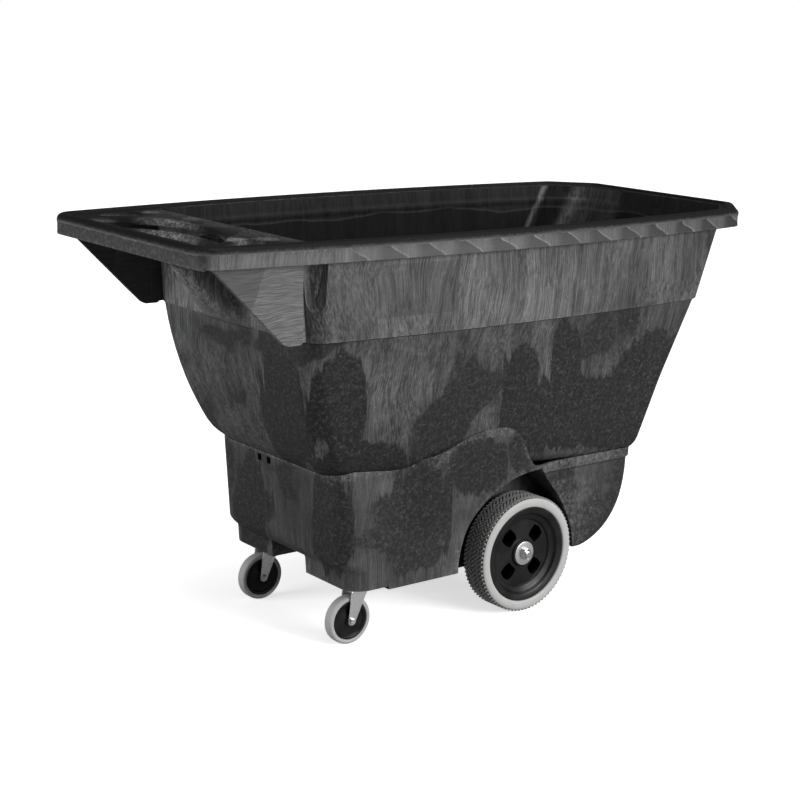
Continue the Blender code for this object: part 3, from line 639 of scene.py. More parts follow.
def make_gussets(look):
    """The plate that hangs from the rim on each side, with the thinner root that ties it to the wall."""
    top = DECK_UNDERSIDE + 0.004
    outline = [(0.043, top), (0.043, 0.920), (0.183, 0.782), (0.2154, 0.751)]
    outline += [(0.2264, 0.7455), (0.2645, 0.745), (0.2645, top)]
    placed = rounded([(station(x), z) for x, z in outline], 0.010)
    root = [(station(x), z) for x, z in ((0.240, 0.750), (0.277, 0.750), (0.277, top), (0.240, top))]
    for side_name, side in SIDES:
        low, high = sorted((side * 0.291, side * 0.302))
        shape = bmesh.new()
        slab(shape, placed, low, high, 0.0016)
        low, high = sorted((side * 0.2900, side * 0.2965))
        slab(shape, root, low, high, 0.0010)
        finish_piece(add_object("gusset_" + side_name, shape), look, "truck")


# Base


def base_end_wall(level):
    """How far from the handle end the base's handle-end wall stands: it steps in near its lower edge."""
    step = clamped((0.215 - level) / 0.027)
    return 0.3985 + 0.085 * max(0.0, 0.41 - level) + 0.021 * step ** 1.5


def nose_lip(distance, level):
    """How far the rolled lip round the nose's upper edge stands out."""
    rise = clamped((level - 0.342) / 0.004)
    reach = clamped((distance - 0.95) / 0.02)
    return NOSE_LIP * rise * reach


def base_nose(level):
    """How far from the handle end the base's round nose reaches at this height."""
    rise = clamped((level - BASE_BOTTOM + 0.004) / 0.20)
    bulge = 0.171 * math.sqrt(1 - (1 - rise) ** 2.3)
    return 1.148 + bulge + 0.03 * max(0.0, level - 0.28) + nose_lip(1.2, level)


def base_side(distance, level):
    """The base's half width: its sides flare out over the space ahead of the large wheels."""
    rising = clamped((distance - 0.54) / 0.12)
    falling = clamped((1.03 - distance) / 0.08)
    lift = eased(rising) * falling
    return BASE_HALF_WIDTH + 0.048 * lift * max(0.0, (level - 0.25) / 0.25) + nose_lip(distance, level)


def base_ring(height, inset=0.0, at=None):
    """The base's plan outline at this height, this far inside its outer face.

    With at, the outline is the one of that height, moved to this one.
    """
    level = height if at is None else at
    start = base_end_wall(level) + inset
    end = base_nose(level) - inset
    corner = 0.050 - 0.5 * inset
    half = [(start, 0.0), (start, 0.10)]
    half += arc((start + corner, BASE_HALF_WIDTH - inset - corner), corner, 180, 90, CORNER_STEPS)
    for i in range(19):
        distance = 0.54 + (1.03 - 0.54) * i / 18
        half.append((distance, base_side(distance, level) - inset))
    wide = BASE_HALF_WIDTH + nose_lip(end, level) - inset
    half += arc((end - corner, wide - corner), corner, 90, 0, CORNER_STEPS)
    half += [(end, 0.10), (end, 0.0)]
    outline = [(station(x), y) for x, y in half]
    return along_z(with_far_half(outline), height)


BASE_HEIGHTS = (
    BASE_BOTTOM, 0.1375, 0.139, 0.142, 0.147, 0.154, 0.163, 0.173, 0.184, 0.190, 0.196, 0.202, 0.209, 0.215,
    0.225, 0.240, 0.260, 0.285, 0.312, 0.3415, 0.343, 0.345, 0.3465, 0.375, 0.410, 0.460, 0.52,
)


def keel(inset):
    half = KEEL_HALF_WIDTH
    outline = [(0.60, -half), (1.045, -half), (1.045, half), (0.60, half)]
    placed = rounded([(station(x), y) for x, y in outline], 0.012)
    rings = []
    for share, lift in ((1.0, 0.0), (0.3, 0.0018), (0.0, 0.006)):
        rings.append(along_z(grown(placed, -inset - share * 0.006), KEEL_BOTTOM + inset + lift))
    rings.append(along_z(grown(placed, -inset), 0.20))
    return lofted("keel", rings)


def recess(grow):
    """The space round each large wheel: an arch about the axle, with a straighter end towards the nose."""
    shape = bmesh.new()
    radius = ARCH_RADIUS + grow
    outline = [(WHEEL_PLACE - radius, 0.06)]
    outline += arc((WHEEL_PLACE, WHEEL_RADIUS), radius, 180, 84, 36)
    outline += [(x + grow, z + 0.6 * grow) for x, z in ((1.012, 0.342), (1.034, 0.316), (1.058, 0.288))]
    lower = ((1.079, 0.256), (1.098, 0.222), (1.113, 0.185), (1.119, 0.150), (1.119, 0.06))
    outline += [(x + grow, z) for x, z in lower]
    placed = rounded([(station(x), z) for x, z in outline], 0.020, 4, 8)
    for _, side in SIDES:
        low, high = sorted((side * (RECESS_INNER - grow), side * 0.40))
        prism(shape, placed, low, high, along_y)
    return add_object("recess", shape)


def notch(grow):
    """The shallow recess in the lower edge of the base's handle-end wall, between the caster pods."""
    shape = bmesh.new()
    reach = station(0.530 + grow)
    half = 0.070 + grow
    outline = [(station(0.36), -half), (reach, -half), (reach, half), (station(0.36), half)]
    prism(shape, rounded(outline, 0.010), 0.05, 0.189 + grow)
    return add_object("notch", shape)


def base_top_cutter():
    """Everything above the base's upper edge: it rises before the wheels and is low round the nose."""
    rows = [(0.36, 0.448), (0.50, 0.444), (0.56, 0.438), (0.62, 0.442), (0.68, 0.460), (0.75, 0.486)]
    rows += [(0.83, 0.492), (0.88, 0.474), (0.92, 0.430), (0.95, 0.3855), (0.985, 0.3712), (1.10, 0.3706)]
    rows += [(1.40, 0.3704)]
    outline = [(0.30, 0.80), (0.30, 0.448)] + smooth_rows(rows, 4) + [(1.45, 0.3704), (1.45, 0.80)]
    shape = bmesh.new()
    prism(shape, [(station(x), z) for x, z in outline], -0.45, 0.45, along_y)
    return add_object("base_top", shape)


def end_block(end, floor):
    """The space at the handle end under this height."""
    shape = bmesh.new()
    box(shape, (station(0.30), -0.40, 0.05), (station(end), 0.40, floor))
    return add_object("end_block", shape)


def vent_slots():
    """Two small slots in the handle-end wall, just under the hopper."""
    shape = bmesh.new()
    for place in (0.020, 0.058):
        box(shape, (station(0.38), place, 0.392), (station(0.43), place + 0.016, 0.409))
    return add_object("vent_slots", shape)


def axle_bore():
    shape = bmesh.new()
    outline = [(station(WHEEL_PLACE) + x, WHEEL_RADIUS + z) for x, z in circle(AXLE_HOLE_RADIUS, 32)]
    prism(shape, outline, -0.24, 0.24, along_y)
    return add_object("axle_bore", shape)


def make_base(look):
    base = lofted("base_skin", [base_ring(height) for height in BASE_HEIGHTS])
    combine(base, "UNION", keel(0.0))
    rings = []
    for level in BASE_HEIGHTS:
        rings.append(base_ring(level + BASE_WALL if level < 0.16 else level, BASE_WALL, at=level))
    rings.append(base_ring(0.62, BASE_WALL, at=BASE_HEIGHTS[-1]))
    cavity = combine(lofted("cavity", rings), "UNION", keel(BASE_WALL))
    combine(cavity, "DIFFERENCE", recess(BASE_WALL), notch(BASE_WALL))
    pillars = hole_cluster(bolt_spots(), 0.020, 0.10, 0.60)
    combine(cavity, "DIFFERENCE", pillars, end_block(0.578, POD_BOTTOM + 0.012))
    combine(base, "DIFFERENCE", cavity, recess(0.0), notch(0.0), end_block(0.545, POD_BOTTOM))
    tub = lofted("tub", outer_hopper_rings(grow=0.0008))
    combine(base, "DIFFERENCE", base_top_cutter(), tub)
    combine(base, "DIFFERENCE", vent_slots(), axle_bore(), bolt_holes())
    spots = [
        (station(CASTER_PLACE) + x, side * CASTER_OFFSET + y) for _, side in SIDES for x, y in CASTER_HOLES
    ]
    combine(base, "DIFFERENCE", hole_cluster(spots, 0.0048, 0.12, 0.18))
    tidy_mesh(base)
    finish_piece(base, look, "truck", ("base_shell",))


# Wheels and casters


def centre_of(node):
    low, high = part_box(node)
    return (low + high) / 2


def placed(shape, centre, side):
    """Moves a shape made for the far side to its centre, turned over first for the near side."""
    if side < 0:
        bmesh.ops.scale(shape, vec=Vector((1, -1, 1)), verts=shape.verts)
        bmesh.ops.reverse_faces(shape, faces=shape.faces)
    bmesh.ops.translate(shape, vec=centre, verts=shape.verts)
    return shape


# Sections of the turned parts: radius, and place out from the part's middle plane.
HUB_PROFILE = (
    (AXLE_HOLE_RADIUS, 0.0235), (0.0300, 0.0235), (0.0325, 0.0228), (0.0350, 0.0176), (0.0380, 0.0168),
    (0.0800, 0.0145), (0.0835, 0.0150), (0.0860, 0.0190), (0.0885, 0.0203), (0.0960, 0.0226),
    (0.0990, 0.0246), (0.1020, 0.0298), (0.1050, 0.0312), (0.1130, 0.0334), (0.1160, 0.0334),
    (0.1180, 0.0322),
    (0.1180, -0.0320), (0.1165, -0.0340), (0.1075, -0.0340), (0.1030, 0.0030), (0.0800, 0.0050),
    (0.0360, 0.0070), (0.0320, -0.0360), (AXLE_HOLE_RADIUS, -0.0360),
)
# The dished plate that closes the hub's inner side.
HUB_BACK = (
    (0.0260, -0.0300), (0.0260, -0.0285), (0.0900, -0.0240), (0.0985, -0.0240), (0.0985, -0.0255),
    (0.0900, -0.0255),
)
TREAD_RADIUS = 0.1412
TYRE_PROFILE = (
    (0.1183, 0.0325), (0.1190, 0.0352), (0.1210, 0.0368), (0.1250, 0.0376), (0.1310, 0.0379),
    (0.1360, 0.0374), (0.1392, 0.0360), (0.1408, 0.0340), (TREAD_RADIUS, 0.0318),
)
WASHER_PROFILE = (
    (0.0099, 0.0240), (0.0099, 0.0268), (0.0180, 0.0268), (0.0278, 0.0262), (0.0291, 0.0256),
    (0.0295, 0.0248), (0.0291, 0.0240),
)
# One hub window's outline: radius, and turn off its middle in radians.
WINDOW_EDGE = (
    (0.044, -0.36), (0.060, -0.33), (0.077, -0.25), (0.079, 0), (0.077, 0.25), (0.060, 0.33), (0.044, 0.36),
    (0.042, 0),
)
HUB_SEGMENTS = 96
LUG_ROWS = 80
LUG_COLUMNS = 5
LUG_PITCH = 0.01349
LUG_SLANT = 44
LUG_HALF_LENGTH = 0.0086
LUG_HALF_WIDTH = 0.0027
NUT_FLATS = 0.027
NUT_INNER = 0.0270
NUT_OUTER = 0.0380


def mirrored_profile(half):
    """A closed section from its outer half, the same on both sides."""
    return list(half) + [(radius, -place) for radius, place in half[::-1]]


def hub_windows():
    """Four tapered windows through the hub's web, on the diagonals."""
    shape = bmesh.new()
    for quarter in range(4):
        middle = math.radians(45 + 90 * quarter)
        outline = []
        for radius, spread in WINDOW_EDGE:
            outline.append((radius * math.cos(middle + spread), radius * math.sin(middle + spread)))
        prism(shape, rounded(outline, 0.006, 5, 12), -0.004, 0.030, along_y)
    return add_object("windows", shape)


def hub_ribs():
    """The ribs behind the web: one on each side of each window."""
    shape = bmesh.new()
    for i in range(8):
        angle = math.radians(45 * i + 22.5)
        across = Vector((-math.sin(angle), 0, math.cos(angle))) * 0.0016
        outward = Vector((math.cos(angle), 0, math.sin(angle)))
        inner = outward * 0.034
        outer = outward * 0.104
        corners = [inner - across, inner + across, outer + across, outer - across]
        rings = []
        for y in (-0.020, 0.012):
            rings.append([(corner.x, y, corner.z) for corner in corners])
        loft(shape, rings)
    return add_object("ribs", shape)


def tread_lug(shape, turn, place, slant):
    """One lug of the tread: a bevelled bar lying across the tread at a slant."""
    across = Vector((math.cos(slant), math.sin(slant)))
    sideways = Vector((-across.y, across.x))
    rings = []
    levels = ((TREAD_RADIUS - 0.0012, 0.0), (WHEEL_RADIUS - 0.0006, 0.0006), (WHEEL_RADIUS, 0.0013))
    for radius, shrink in levels:
        ring = []
        for along, side in ((-1, -1), (0, -1.25), (1, -1), (1, 1), (0, 1.25), (-1, 1)):
            spot = across * along * (LUG_HALF_LENGTH - shrink)
            spot += sideways * side * (LUG_HALF_WIDTH - shrink)
            angle = turn + spot.y / radius
            ring.append((radius * math.cos(angle), place + spot.x, radius * math.sin(angle)))
        rings.append(ring)
    loft(shape, rings)


def tread(shape):
    """Rows of slanted lugs, turned the other way in each next column."""
    for column in range(LUG_COLUMNS):
        place = LUG_PITCH * (column - (LUG_COLUMNS - 1) / 2)
        slant = math.radians(LUG_SLANT if column % 2 else -LUG_SLANT)
        for row in range(LUG_ROWS):
            turn = 2 * math.pi * (row + 0.5 * (column % 2)) / LUG_ROWS
            tread_lug(shape, turn, place, slant)


def turned_piece(name, profile, segments, centre, side):
    """A turned part, made as for the far side and then put on its own side."""
    shape = bmesh.new()
    turned(shape, profile, segments)
    return add_object(name, placed(shape, centre, side))


def make_hub(side_name, centre, side, look):
    """The hub with its ribs and windows, closed behind by the dished plate."""
    shape = bmesh.new()
    turned(shape, HUB_PROFILE, HUB_SEGMENTS)
    hub = add_object("hub_" + side_name, shape)
    combine(hub, "UNION", hub_ribs(), solver="EXACT")
    combine(hub, "DIFFERENCE", hub_windows(), solver="EXACT")
    tidy_mesh(hub)
    shape = bmesh.new()
    shape.from_mesh(hub.data)
    turned(shape, HUB_BACK, HUB_SEGMENTS)
    placed(shape, centre, side).to_mesh(hub.data)
    shape.free()
    soften(hub, 0.0008)
    finish_piece(hub, look, "wheel_" + side_name, ("wheel_hub_" + side_name,))


def make_wheel(side_name, side, looks):
    """A large wheel: its hub, its tyre with the lugs of the tread, and the washer and nut on the axle."""
    body = "wheel_" + side_name
    centre = centre_of("wheel_tyre_" + side_name)
    make_hub(side_name, centre, side, looks["hub"])
    tyre = turned_piece("tyre_" + side_name, mirrored_profile(TYRE_PROFILE), 160, centre, side)
    finish_piece(tyre, looks["wheel_tyre"], body, ("wheel_tyre_" + side_name,), sharp=50)
    shape = bmesh.new()
    tread(shape)
    lugs = add_object("tread_lugs_" + side_name, placed(shape, centre, side))
    finish_piece(lugs, looks["tread"], body, sharp=40)
    washer = turned_piece("washer_" + side_name, WASHER_PROFILE, 64, centre, side)
    finish_piece(washer, looks["zinc"], "truck", ("axle_washer_" + side_name,))
    nut = add_object("nut_" + side_name, placed(hex_nut(NUT_FLATS, NUT_INNER, NUT_OUTER), centre, side))
    soften(nut, 0.0004)
    finish_piece(nut, looks["zinc"], "truck", ("axle_nut_" + side_name,))


def hex_nut(across_flats, low, high):
    """A hex nut with its corners turned off at both ends, and a chamfered bore."""
    shape = bmesh.new()
    corner = across_flats / math.sqrt(3)
    flat = across_flats / 2
    rings = []
    limits = [(low, 0.97 * flat), (low + 0.0007, 1.06 * flat), (low + 0.0016, corner)]
    limits += [(high - 0.0020, corner), (high - 0.0009, 1.06 * flat), (high, 0.96 * flat)]
    for y, limit in limits:
        ring = []
        for i in range(48):
            angle = 2 * math.pi * i / 48
            sector = (angle % (math.pi / 3)) - math.pi / 6
            radius = min(limit, flat / math.cos(sector))
            ring.append((radius * math.cos(angle), y, radius * math.sin(angle)))
        rings.append(ring)
    for y, radius in ((high, 0.0112), (high - 0.0012, 0.0100), (low + 0.0006, 0.0100), (low, 0.0108)):
        rings.append(along_y(circle(radius, 48), y))
    loft(shape, rings, True)
    return shape


def make_axle(look):
    """The axle with the turned threads at its two ends."""
    centre = centre_of("axle")
    low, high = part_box("axle")
    reach = (high.y - low.y) / 2
    half = [(0.0, 0.0070), (0.0006, 0.0082)]
    for turn in range(11):
        start = 0.0012 + 0.0015 * turn
        half += [(start, 0.0093), (start + 0.0005, 0.0093), (start + 0.0010, 0.0086)]
    half.append((0.0190, 0.0094))
    rings = [along_y(circle(radius, 32), depth - reach) for depth, radius in half]
    rings += [along_y(circle(radius, 32), reach - depth) for depth, radius in half[::-1]]
    shape = bmesh.new()
    loft(shape, rings)
    rod = add_object("axle_rod", placed(shape, centre, 1))
    finish_piece(rod, look, "truck", ("axle",))


CASTER_TYRE = (
    (0.0463, 0.0108), (0.0468, 0.0124), (0.0480, 0.0133), (0.0505, 0.01365), (0.0530, 0.0135),
    (0.0552, 0.0125), (0.0567, 0.0106), (0.0574, 0.0080), (0.0575, 0.0045),
)
CASTER_CORE = (
    (0.0064, 0.0147), (0.0118, 0.0147), (0.0130, 0.0141), (0.0138, 0.0110), (0.0155, 0.0098),
    (0.0290, 0.0082), (0.0365, 0.0088), (0.0385, 0.0104), (0.0400, 0.0122), (0.0415, 0.0127),
    (0.0450, 0.0127), (0.0460, 0.0118),
)


FORK_GAUGE = 0.003
FORK_HALF_GAP = 0.0165


def fork_shape(centre, top):
    """A pressed fork: a round-ended top plate bent down into two tapered legs."""
    gauge = FORK_GAUGE
    inner = FORK_HALF_GAP
    shape = bmesh.new()
    outline = arc((0, 0), 0.0213, -70, 70, 21) + [(-0.018, inner + gauge), (-0.018, -inner - gauge)]
    slab(shape, rounded(outline, 0.003), top - gauge, top, 0.0006, along_z)
    foot = arc((-CASTER_TRAIL, centre.z), 0.0105, 195, 345, 21)
    leg = [(-0.0295, top - 0.010)] + foot
    leg += [(0.0135, top - 0.012), (0.0140, top - 0.0006), (-0.0255, top - 0.0006)]
    for side in (-1, 1):
        low, high = sorted((side * inner, side * (inner + gauge)))
        slab(shape, rounded(leg, 0.004), low, high, 0.0007)
    return shape


def make_caster(side_name, side, looks):
    core_centre = centre_of("caster_core_" + side_name)
    body = "caster_wheel_" + side_name
    tyre = turned_piece("caster_tread_" + side_name, mirrored_profile(CASTER_TYRE), 96, core_centre, side)
    finish_piece(tyre, looks["tyre"], body, ("caster_tyre_" + side_name,), sharp=50)
    core = turned_piece("caster_centre_" + side_name, mirrored_profile(CASTER_CORE), 72, core_centre, side)
    finish_piece(core, looks["hub"], body, ("caster_core_" + side_name,))

    fork_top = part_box("caster_fork_" + side_name)[1].z
    shape = fork_shape(core_centre, fork_top)
    swivel = Vector((core_centre.x + CASTER_TRAIL, core_centre.y, 0))
    piece = add_object("fork_" + side_name, placed(shape, swivel, 1))
    finish_piece(piece, looks["zinc"], "caster_" + side_name, ("caster_fork_" + side_name,))


# Materials


class Look:
    """A material and short calls that add nodes to it. A value is a number, a colour or a node's output."""

    def __init__(self, name, colour, roughness, metallic=0.0):
        self.material = bpy.data.materials.new(name)
        self.material.use_nodes = True
        self.tree = self.material.node_tree
        self.shader = self.tree.nodes["Principled BSDF"]
        self.shader.inputs["Base Color"].default_value = (*colour, 1.0)
        self.shader.inputs["Roughness"].default_value = roughness
        self.shader.inputs["Metallic"].default_value = metallic
        self.place = self.tree.nodes.new("ShaderNodeTexCoord").outputs["Object"]

    def feed(self, socket, value):
        if isinstance(value, bpy.types.NodeSocket):
            self.tree.links.new(value, socket)
        elif isinstance(value, tuple) and len(value) == 3 and socket.type == "RGBA":
            socket.default_value = (*value, 1.0)
        else:
            socket.default_value = value

    def math(self, operation, first, second=0.0):
        node = self.tree.nodes.new("ShaderNodeMath")
        node.operation = operation
        self.feed(node.inputs[0], first)
        self.feed(node.inputs[1], second)
        return node.outputs[0]

    def plus(self, first, second):
        return self.math("ADD", first, second)

    def minus(self, first, second):
        return self.math("SUBTRACT", first, second)

    def times(self, first, second):
        return self.math("MULTIPLY", first, second)

    def gap(self, first, second):
        """How far apart two values are."""
        return self.math("ABSOLUTE", self.minus(first, second))

    def fade(self, value, low, high):
        """1 below low, falling smoothly to 0 at high."""
        return self.step(value, low, high, 1.0, 0.0)

    def length(self, place):
        return self.vector("LENGTH", place, (0, 0, 0))

    def vector(self, operation, first, second):
        node = self.tree.nodes.new("ShaderNodeVectorMath")
        node.operation = operation
        self.feed(node.inputs[0], first)
        self.feed(node.inputs[1], second)
        return node.outputs["Value" if operation == "LENGTH" else "Vector"]

    def shifted(self, place, location=(0, 0, 0), rotation=(0, 0, 0), scale=(1, 1, 1)):
        """The place as seen from a spot, along turned and stretched axes."""
        node = self.tree.nodes.new("ShaderNodeMapping")
        node.vector_type = "POINT"
        self.feed(node.inputs["Vector"], self.vector("SUBTRACT", place, location))
        node.inputs["Rotation"].default_value = rotation
        node.inputs["Scale"].default_value = scale
        return node.outputs[0]

    def drawn(self, place, lean, scale):
        """The place along axes leaning by this many degrees about Y, and stretched."""
        return self.shifted(place, (0, 0, 0), (0, math.radians(lean), 0), scale)

    def noise(self, place, scale, detail=2.0, roughness=0.5, colour=False):
        node = self.tree.nodes.new("ShaderNodeTexNoise")
        self.feed(node.inputs["Vector"], place)
        node.inputs["Scale"].default_value = scale
        node.inputs["Detail"].default_value = detail
        node.inputs["Roughness"].default_value = roughness
        return node.outputs["Color" if colour else "Fac"]

    def step(self, value, low, high, at_low=0.0, at_high=1.0):
        """A smooth step from one value to another as value goes from low to high."""
        node = self.tree.nodes.new("ShaderNodeMapRange")
        node.interpolation_type = "SMOOTHSTEP"
        self.feed(node.inputs["Value"], value)
        limits = {"From Min": low, "From Max": high, "To Min": at_low, "To Max": at_high}
        for name, number in limits.items():
            node.inputs[name].default_value = number
        return node.outputs[0]

    def blend(self, share, first, second):
        node = self.tree.nodes.new("ShaderNodeMix")
        node.data_type = "RGBA" if isinstance(first, tuple) or isinstance(second, tuple) else "FLOAT"
        kind = "_Color" if node.data_type == "RGBA" else "_Float"
        sockets = {socket.identifier: socket for socket in node.inputs}
        self.feed(sockets["Factor_Float"], share)
        self.feed(sockets["A" + kind], first)
        self.feed(sockets["B" + kind], second)
        return {socket.identifier: socket for socket in node.outputs}["Result" + kind]

    def warped(self, place, scale, amount):
        """The place pushed about by a slow noise."""
        push = self.vector("SUBTRACT", self.noise(place, scale, 2.0, colour=True), (0.5, 0.5, 0.5))
        return self.vector("ADD", place, self.vector("MULTIPLY", push, (amount, amount, amount)))

    def split(self, place):
        node = self.tree.nodes.new("ShaderNodeSeparateXYZ")
        self.feed(node.inputs[0], place)
        return node.outputs

    def grey(self, value, tint=(1.0, 1.0, 1.0)):
        """A colour from a brightness."""
        node = self.tree.nodes.new("ShaderNodeCombineColor")
        for socket, share in zip(node.inputs, tint):
            self.feed(socket, self.times(value, share))
        return node.outputs[0]

    def pointed(self):
        """How far the surface sticks out: over 0.5 on an outer edge, and under it in a corner."""
        return self.tree.nodes.new("ShaderNodeNewGeometry").outputs["Pointiness"]

    def bump(self, height, strength, distance):
        node = self.tree.nodes.new("ShaderNodeBump")
        node.inputs["Strength"].default_value = strength
        node.inputs["Distance"].default_value = distance
        self.feed(node.inputs["Height"], height)
        self.tree.links.new(node.outputs["Normal"], self.shader.inputs["Normal"])

    def paint(self, colour=None, roughness=None):
        if colour is not None:
            self.feed(self.shader.inputs["Base Color"], colour)
        if roughness is not None:
            self.feed(self.shader.inputs["Roughness"], roughness)
        return self.material


# The darker mottled patches on each moulding: the middle's place along the wall and its height, half length,
# half height, and lean in degrees.
HOPPER_PATCHES = (
    (-0.455, 0.600, 0.085, 0.120, 8), (-0.640, 0.560, 0.100, 0.170, 12), (0.060, 0.560, 0.062, 0.135, 30),
    (0.200, 0.640, 0.048, 0.110, 24), (0.215, 0.500, 0.220, 0.100, 8), (0.480, 0.580, 0.105, 0.095, -18),
    (0.370, 0.450, 0.200, 0.070, 0), (-0.400, 0.440, 0.150, 0.060, 0),
)
BASE_PATCHES = (
    (-0.240, 0.300, 0.120, 0.130, 20), (-0.060, 0.400, 0.090, 0.080, 30), (0.100, 0.420, 0.060, 0.060, 0),
    (-0.500, 0.300, 0.080, 0.140, 10), (-0.820, 0.260, 0.080, 0.150, 0), (0.225, 0.300, 0.034, 0.085, 15),
)
SKIRT_FAN_PITCH = 0.098
SKIRT_BOTTOM = HEIGHT - RIM_DEPTH
SKIRT_TOP = HEIGHT - 0.016
BLACK_TINT = (0.985, 0.995, 1.0)


def along_wall(look):
    """The place with X measured round the walls: it runs on from the near side round the handle end."""
    x, y, z = look.split(look.place)
    joined = look.tree.nodes.new("ShaderNodeCombineXYZ")
    look.feed(joined.inputs[0], look.minus(look.minus(x, y), 0.30))
    look.feed(joined.inputs[2], z)
    return joined.outputs[0]


def near_patches(look, patches):
    """1 inside the patches and 0 outside, with edges drawn out along the flow."""
    wall = along_wall(look)
    uneven = look.warped(wall, 7.0, 0.060)
    nearest = 9.0
    for x, z, half_x, half_z, lean in patches:
        turn = (0, math.radians(lean), 0)
        spot = look.shifted(uneven, (x, 0, z), turn, (1 / half_x, 0, 1 / half_z))
        nearest = look.math("MINIMUM", nearest, look.length(spot))
    spikes = look.noise(look.drawn(wall, 22, (34.0, 34.0, 5.0)), 1.0, 3.0, 0.6)
    nearest = look.plus(nearest, look.times(look.minus(spikes, 0.5), 1.1))
    return look.fade(nearest, 0.94, 1.06)


def wall_patches(look, patches, slow, band):
    """Where the dark patches are: the placed ones and some loose ones, all below the upper band."""
    patch = near_patches(look, patches)
    patch = look.math("MAXIMUM", patch, look.times(look.step(slow, 0.53, 0.56), 0.85))
    return look.times(patch, look.minus(1.0, band))


def streaks(look, lean, fine=300.0, long=8.0):
    """Flow streaks up the wall, leaning by these degrees: fine ones, gathered in broader faint bands."""
    flowing = look.warped(look.place, 3.0, 0.10)
    fine_ones = look.noise(look.drawn(flowing, lean, (fine, fine, long)), 1.0, 4.0, 0.7)
    bands = look.noise(look.drawn(flowing, lean, (fine / 6, fine / 6, long / 4)), 1.0, 3.0, 0.6)
    fine_ones = look.step(fine_ones, 0.38, 0.64)
    bands = look.step(bands, 0.36, 0.66)
    return look.plus(look.times(fine_ones, 0.62), look.times(bands, 0.38))


def skirt_fans(look):
    """The light strokes that repeat along the skirt: each starts on a leaning line and ends upright."""
    x, _, z = look.split(look.warped(look.place, 16.0, 0.016))
    turn = look.math("FRACT", look.math("DIVIDE", x, SKIRT_FAN_PITCH))
    inside = look.minus(turn, look.step(z, SKIRT_BOTTOM, SKIRT_TOP + 0.004, 0.50, 0.0))
    lit = look.times(look.step(inside, 0.0, 0.05), look.fade(turn, 0.62, 0.98))
    stroke = look.times(look.step(inside, 0.0, 0.03), look.fade(inside, 0.03, 0.12))
    return look.plus(look.times(lit, 0.55), look.times(stroke, 0.75))


def skirt_shade(look, flow, mottle):
    """How bright the skirt is: streaks at each side's handle end, fans further on, dark on the ends."""
    x = look.split(look.place)[0]
    fans = look.times(skirt_fans(look), look.plus(0.45, look.times(flow, 0.9)))
    fans = look.plus(look.step(x, -0.5, 0.75, 0.052, 0.016), look.times(fans, 0.100))
    plain = look.plus(0.046, look.times(flow, 0.095))
    side = look.blend(look.step(x, -0.50, -0.44), plain, fans)
    end = look.plus(0.014, look.times(mottle, 0.050))
    return look.blend(look.step(x, station(0.014), station(0.030)), end, side)


def well_painted_light(look, mottle):
    """Where the hand well is, and how bright: painted shade over the well, and a painted pool of light over
    the mottle in its middle.
    """
    x, _, height = look.split(look.place)
    middle = (station(0.165), 0.08, 0.942)
    spread = look.length(look.shifted(look.place, middle, scale=(16.0, 7.5, 16.0)))
    inside = look.times(look.fade(x, station(0.210), station(0.216)), look.step(height, 0.872, 0.885))
    inside = look.times(inside, look.fade(spread, 1.2, 1.7))
    # Painted pool of light in the well's middle, over the real mottle; the 0.006 around it is painted shade.
    pale = look.times(look.fade(spread, 0.15, 1.1), look.plus(0.06, look.times(mottle, 0.34)))
    return inside, look.plus(0.006, pale)


def plain_label(look):
    """1 on the plain rectangle on the upper band's sides ahead of the handle end, and 0 elsewhere."""
    x, _, height = look.split(look.place)
    across = look.minus(look.gap(x, station(0.540)), 0.100)
    up = look.minus(look.gap(height, 0.850), 0.056)
    return look.fade(look.math("MAXIMUM", across, up), 0.0, 0.003)


def streaky_shade(look, flow, slow, mottle, band, streakiness):
    """How bright the streaky wall is, after each thing that lightens or darkens it."""
    x = look.split(look.place)[0]
    # Painted highlight: the upper band is lighter where the wall flares out beside the handle-end pocket.
    flare_highlight = look.step(x, station(0.32), station(0.41), 1.45, 1.0)
    changes = (
        look.step(slow, 0.30, 0.66, 1.45, 0.60),
        look.blend(band, 0.85, 1.18),
        look.step(mottle, 0.0, 1.0, 0.86, 1.14),
        look.blend(look.times(plain_label(look), band), 1.0, 0.72),
        look.blend(band, 1.0, flare_highlight),
        look.step(x, 0.0, 0.70, 1.0, 0.60),
    )
    shade = look.plus(0.010 + 0.022 * (1 - streakiness), look.times(flow, 0.125 * streakiness))
    for change in changes:
        shade = look.times(shade, change)
    return shade


def patch_shade(look, mottle, specks, streakiness):
    """How bright the dark patches are: mottled, with pale flecks and thin wavy creases."""
    crease = look.noise(look.warped(look.place, 26.0, 0.030), 34.0, 3.0, 0.55)
    crease = look.fade(look.gap(crease, 0.5), 0.0, 0.022)
    shade = look.plus(0.006 + 0.010 * (1 - streakiness), look.times(mottle, 0.020))
    shade = look.plus(shade, look.times(specks, 0.080))
    return look.plus(shade, look.times(look.times(crease, mottle), 0.040))


def bead_shade(look, flow, specks):
    """How bright the rim's rounded top is: dark and scuffed, with a painted highlight low on its outer side.
    """
    height = look.split(look.place)[2]
    ragged = look.plus(height, look.times(flow, 0.004))
    # Painted highlight along the bead's lower outer edge.
    shoulder_highlight = look.step(ragged, SKIRT_TOP, SKIRT_TOP + 0.010, 0.075, 0.0)
    return look.plus(look.plus(0.004, look.times(specks, 0.040)), shoulder_highlight)


# Painted highlights at the handle end, on the bridges beside the D opening and the rim's near corner,
# with each spot's middle, its reach and how bright it is.
HIGHLIGHT_SPOTS = (
    ((0.150, -0.205, 0.966), 0.045, 0.26), ((0.223, 0.258, 0.966), 0.030, 0.14),
    ((0.215, -0.235, 0.966), 0.040, 0.12), ((0.012, -0.380, 0.940), 0.050, 0.16),
    ((0.250, 0.120, 0.966), 0.040, 0.06),
)


